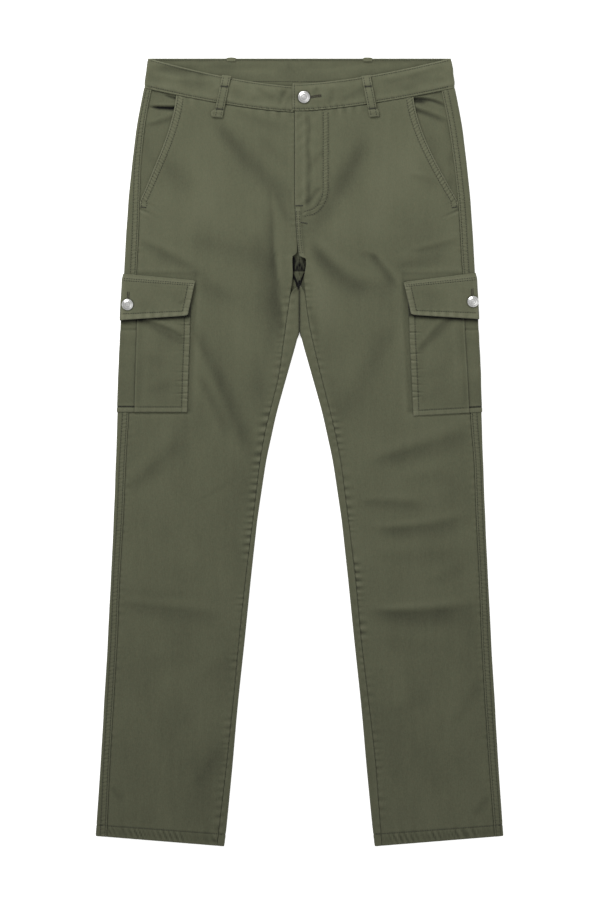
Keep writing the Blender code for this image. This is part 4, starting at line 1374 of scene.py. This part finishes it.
def pocket_rows(name, side):
    cloth = "cargo_pocket_" + name
    run = np.arange(FLAP_FOOT - 8, BODY_FOOT - 6.5, 3.0)
    x = fold_end(run) - mix(*BODY_REACH[name], ramp(run, BODY_TOP, BODY_FOOT)) + POCKET_ROW
    yield Row(cloth, path_of(side, x, pocket_down(name, x, run)))
    foot = BODY_FOOT - POCKET_FOOT_ROW
    end, pleat = fold_end(foot), PLEAT[name][1]
    x = np.linspace(end - BODY_REACH[name][1] + POCKET_ROW, end - pleat - 7, 20)
    yield Row(cloth, path_of(side, x, pocket_down(name, x, foot)))
    x = np.linspace(end - pleat + 0.8, end + 0.5, 10)
    yield Row(cloth, path_of(side, x, pocket_down(name, x, foot) - 0.8), 2.2, 2.1)
    behind = end - REACH_BEHIND + 3
    yield Row(cloth, path_of(side, np.linspace(behind, end, 20), foot), below=True)
    down = np.arange(BODY_TOP + 3, BODY_FOOT - 4, 3.0)
    yield Row(cloth, path_of(side, behind, down), below=True)


def flap_rows(name, side):
    flap = FLAPS[name]
    height = flap.foot - flap.top

    def row(inboard, away):
        """A row at distances from the flap's inboard edge and from its top."""
        run = flap.top + away
        x = flap_edge(name, run) + inboard
        return Row("cargo_flap_" + name, path_of(side, x, flap_down(name, x, run)))

    for away in FLAP_TOP_ROWS:
        yield row(np.linspace(1.5, FLAP_REACH[0] + 1, 40), away)
    yield row(FLAP_ROW, np.linspace(11, height - FLAP_ROW, 20))
    yield row(np.linspace(FLAP_ROW, FLAP_REACH[1] + 1, 40), height - FLAP_ROW)


def along_loop(name, share):
    loop = FRONT_LOOPS[name]
    return mix(loop.x, loop.x_foot, share), mix(loop.down, loop.down_foot, share)


def loop_rows(name, side):
    x, down = along_loop(name, np.linspace(0.04, 0.96, 20))
    for across in (-3.7, 3.7):
        yield Row("belt_loop_front_" + name, path_of(side, x + across, down))


def bar(cloth, side, x, down, x_end, down_end, width):
    """A bar tack or one side of a buttonhole: close threads across a short line."""
    path = path_of(side, np.array((x, x_end), float), np.array((down, down_end), float))
    return Row(cloth, path, 0.62, width, True)


def tacks(name, side):
    for share in LOOP_TACKS:
        x, down = along_loop(name, share)
        yield bar("belt_loop_front_" + name, side, x - 4.8, down, x + 4.8, down - 0.6, 1.8)
    if name == "left":
        yield bar("front_left", 1, -5.2, 200.5, 4.5, 200.2, 1.8)
        yield bar("front_left", 1, 1.5, 222.8, 10.5, 224.2, 1.6)
    foot = mouth(name, MOUTH_FOOT + 6)
    yield bar("front_" + name, side, foot - 9, MOUTH_FOOT + 9, foot - 1.5, MOUTH_FOOT + 8, 1.5)


def buttonholes():
    """Worked slits: two close rows each, and at the waist an eyelet end."""
    for gap in (-1.0, 1.0):
        yield bar("waistband_left", 1, 14.5, 54.2 + gap, 28.5, 52.2 + gap, 2.2)
    yield bar("waistband_left", 1, 28.6, 50.6, 29.2, 54.0, 2.0)
    for name, side in SIDES.items():
        x, top = CARGO_BUTTONS[name].x - 1, CARGO_BUTTONS[name].down - 17.5
        for gap in (-1.0, 1.0):
            yield bar("cargo_flap_" + name, side, x + gap, top, x + gap, top + 9, 1.6)


def sew_all():
    for name, side in SIDES.items():
        sew("stitches_front_" + name, [*front_rows(name, side), *tacks(name, side)])
        sew("stitches_back_" + name, back_rows(name, side))
        sew("stitches_waistband_" + name, [*band_rows(name, side), *loop_rows(name, side)])
        sew("stitches_cargo_" + name, [*pocket_rows(name, side), *flap_rows(name, side)])
    sew("buttonholes", buttonholes(), 0.3, DARK_THREADS)


# Stage: pale floor, soft light from above the waist, and a camera that looks straight down.

VIEW_HEIGHT = 1.215  # metres that the picture's long side shows at the floor
EYE = 6.0
VIEW_CENTRE = (0.0007, 0.0024)
SENSOR = 36
FLOOR_HALF = 40
FLOOR_DROP = 0.0003


def add_stage():
    corners = [(x * FLOOR_HALF, y * FLOOR_HALF, 0) for x, y in ((-1, -1), (1, -1), (1, 1), (-1, 1))]
    mesh = bpy.data.meshes.new("floor")
    mesh.from_pydata(corners, [], [(0, 1, 2, 3)])
    floor = bpy.data.objects.new("floor", mesh)
    bpy.context.scene.collection.objects.link(floor)
    floor.location.z = -FLOOR_DROP
    paint = bpy.data.materials.new("floor_paint")
    paint.use_nodes = True
    shader = paint.node_tree.nodes["Principled BSDF"]
    shader.inputs["Base Color"].default_value = (0.93, 0.93, 0.93, 1)
    shader.inputs["Roughness"].default_value = 0.9
    shader.inputs["Specular IOR Level"].default_value = 0.0
    shader.inputs["Emission Color"].default_value = (1, 1, 1, 1)
    shader.inputs["Emission Strength"].default_value = 0.6
    mesh.materials.append(paint)


def add_light(name, place, aim, size, energy):
    lamp = bpy.data.lights.new(name, "AREA")
    lamp.size, lamp.energy = size, energy
    obj = bpy.data.objects.new(name, lamp)
    bpy.context.scene.collection.objects.link(obj)
    obj.location = place
    obj.rotation_euler = (Vector(aim) - Vector(place)).to_track_quat("-Z", "Y").to_euler()


def add_lights():
    world = bpy.data.worlds.new("soft_room")
    bpy.context.scene.world = world
    world.use_nodes = True
    background = world.node_tree.nodes["Background"]
    background.inputs["Color"].default_value = (1, 1, 1, 1)
    background.inputs["Strength"].default_value = 0.55
    add_light("key", (-0.95, 2.2, 1.9), (0, 0.1, 0), 1.2, 56)
    add_light("fill", (1.6, -0.4, 2.4), (0, 0, 0), 2.0, 16)


def add_camera():
    camera = bpy.data.objects.new("camera", bpy.data.cameras.new("camera"))
    bpy.context.scene.collection.objects.link(camera)
    camera.location = (*VIEW_CENTRE, EYE)
    camera.data.sensor_width = SENSOR
    camera.data.lens = SENSOR * EYE / VIEW_HEIGHT
    camera.data.clip_end = 100
    bpy.context.scene.camera = camera


def build():
    for name, side in SIDES.items():
        add_front(name, side)
        add_back(name, side)
        add_waistband(name, side)
        add_facing(name, side)
        add_cargo_pocket(name, side)
        add_cargo_flap(name, side)
        add_front_loop(name, side)
        add_back_loop(name, side)
        flap_height = at("top", CARGO_BUTTONS[name].down) + FLAP_OUT + 1.5
        add_button("cargo_button_" + name, side, CARGO_BUTTONS[name], flap_height)
    add_button("waist_button", 1, WAIST_BUTTON, BAND_TOP)
    sew_all()


build()
add_stage()
add_lights()
add_camera()
bpy.context.scene.view_settings.view_transform = "Standard"
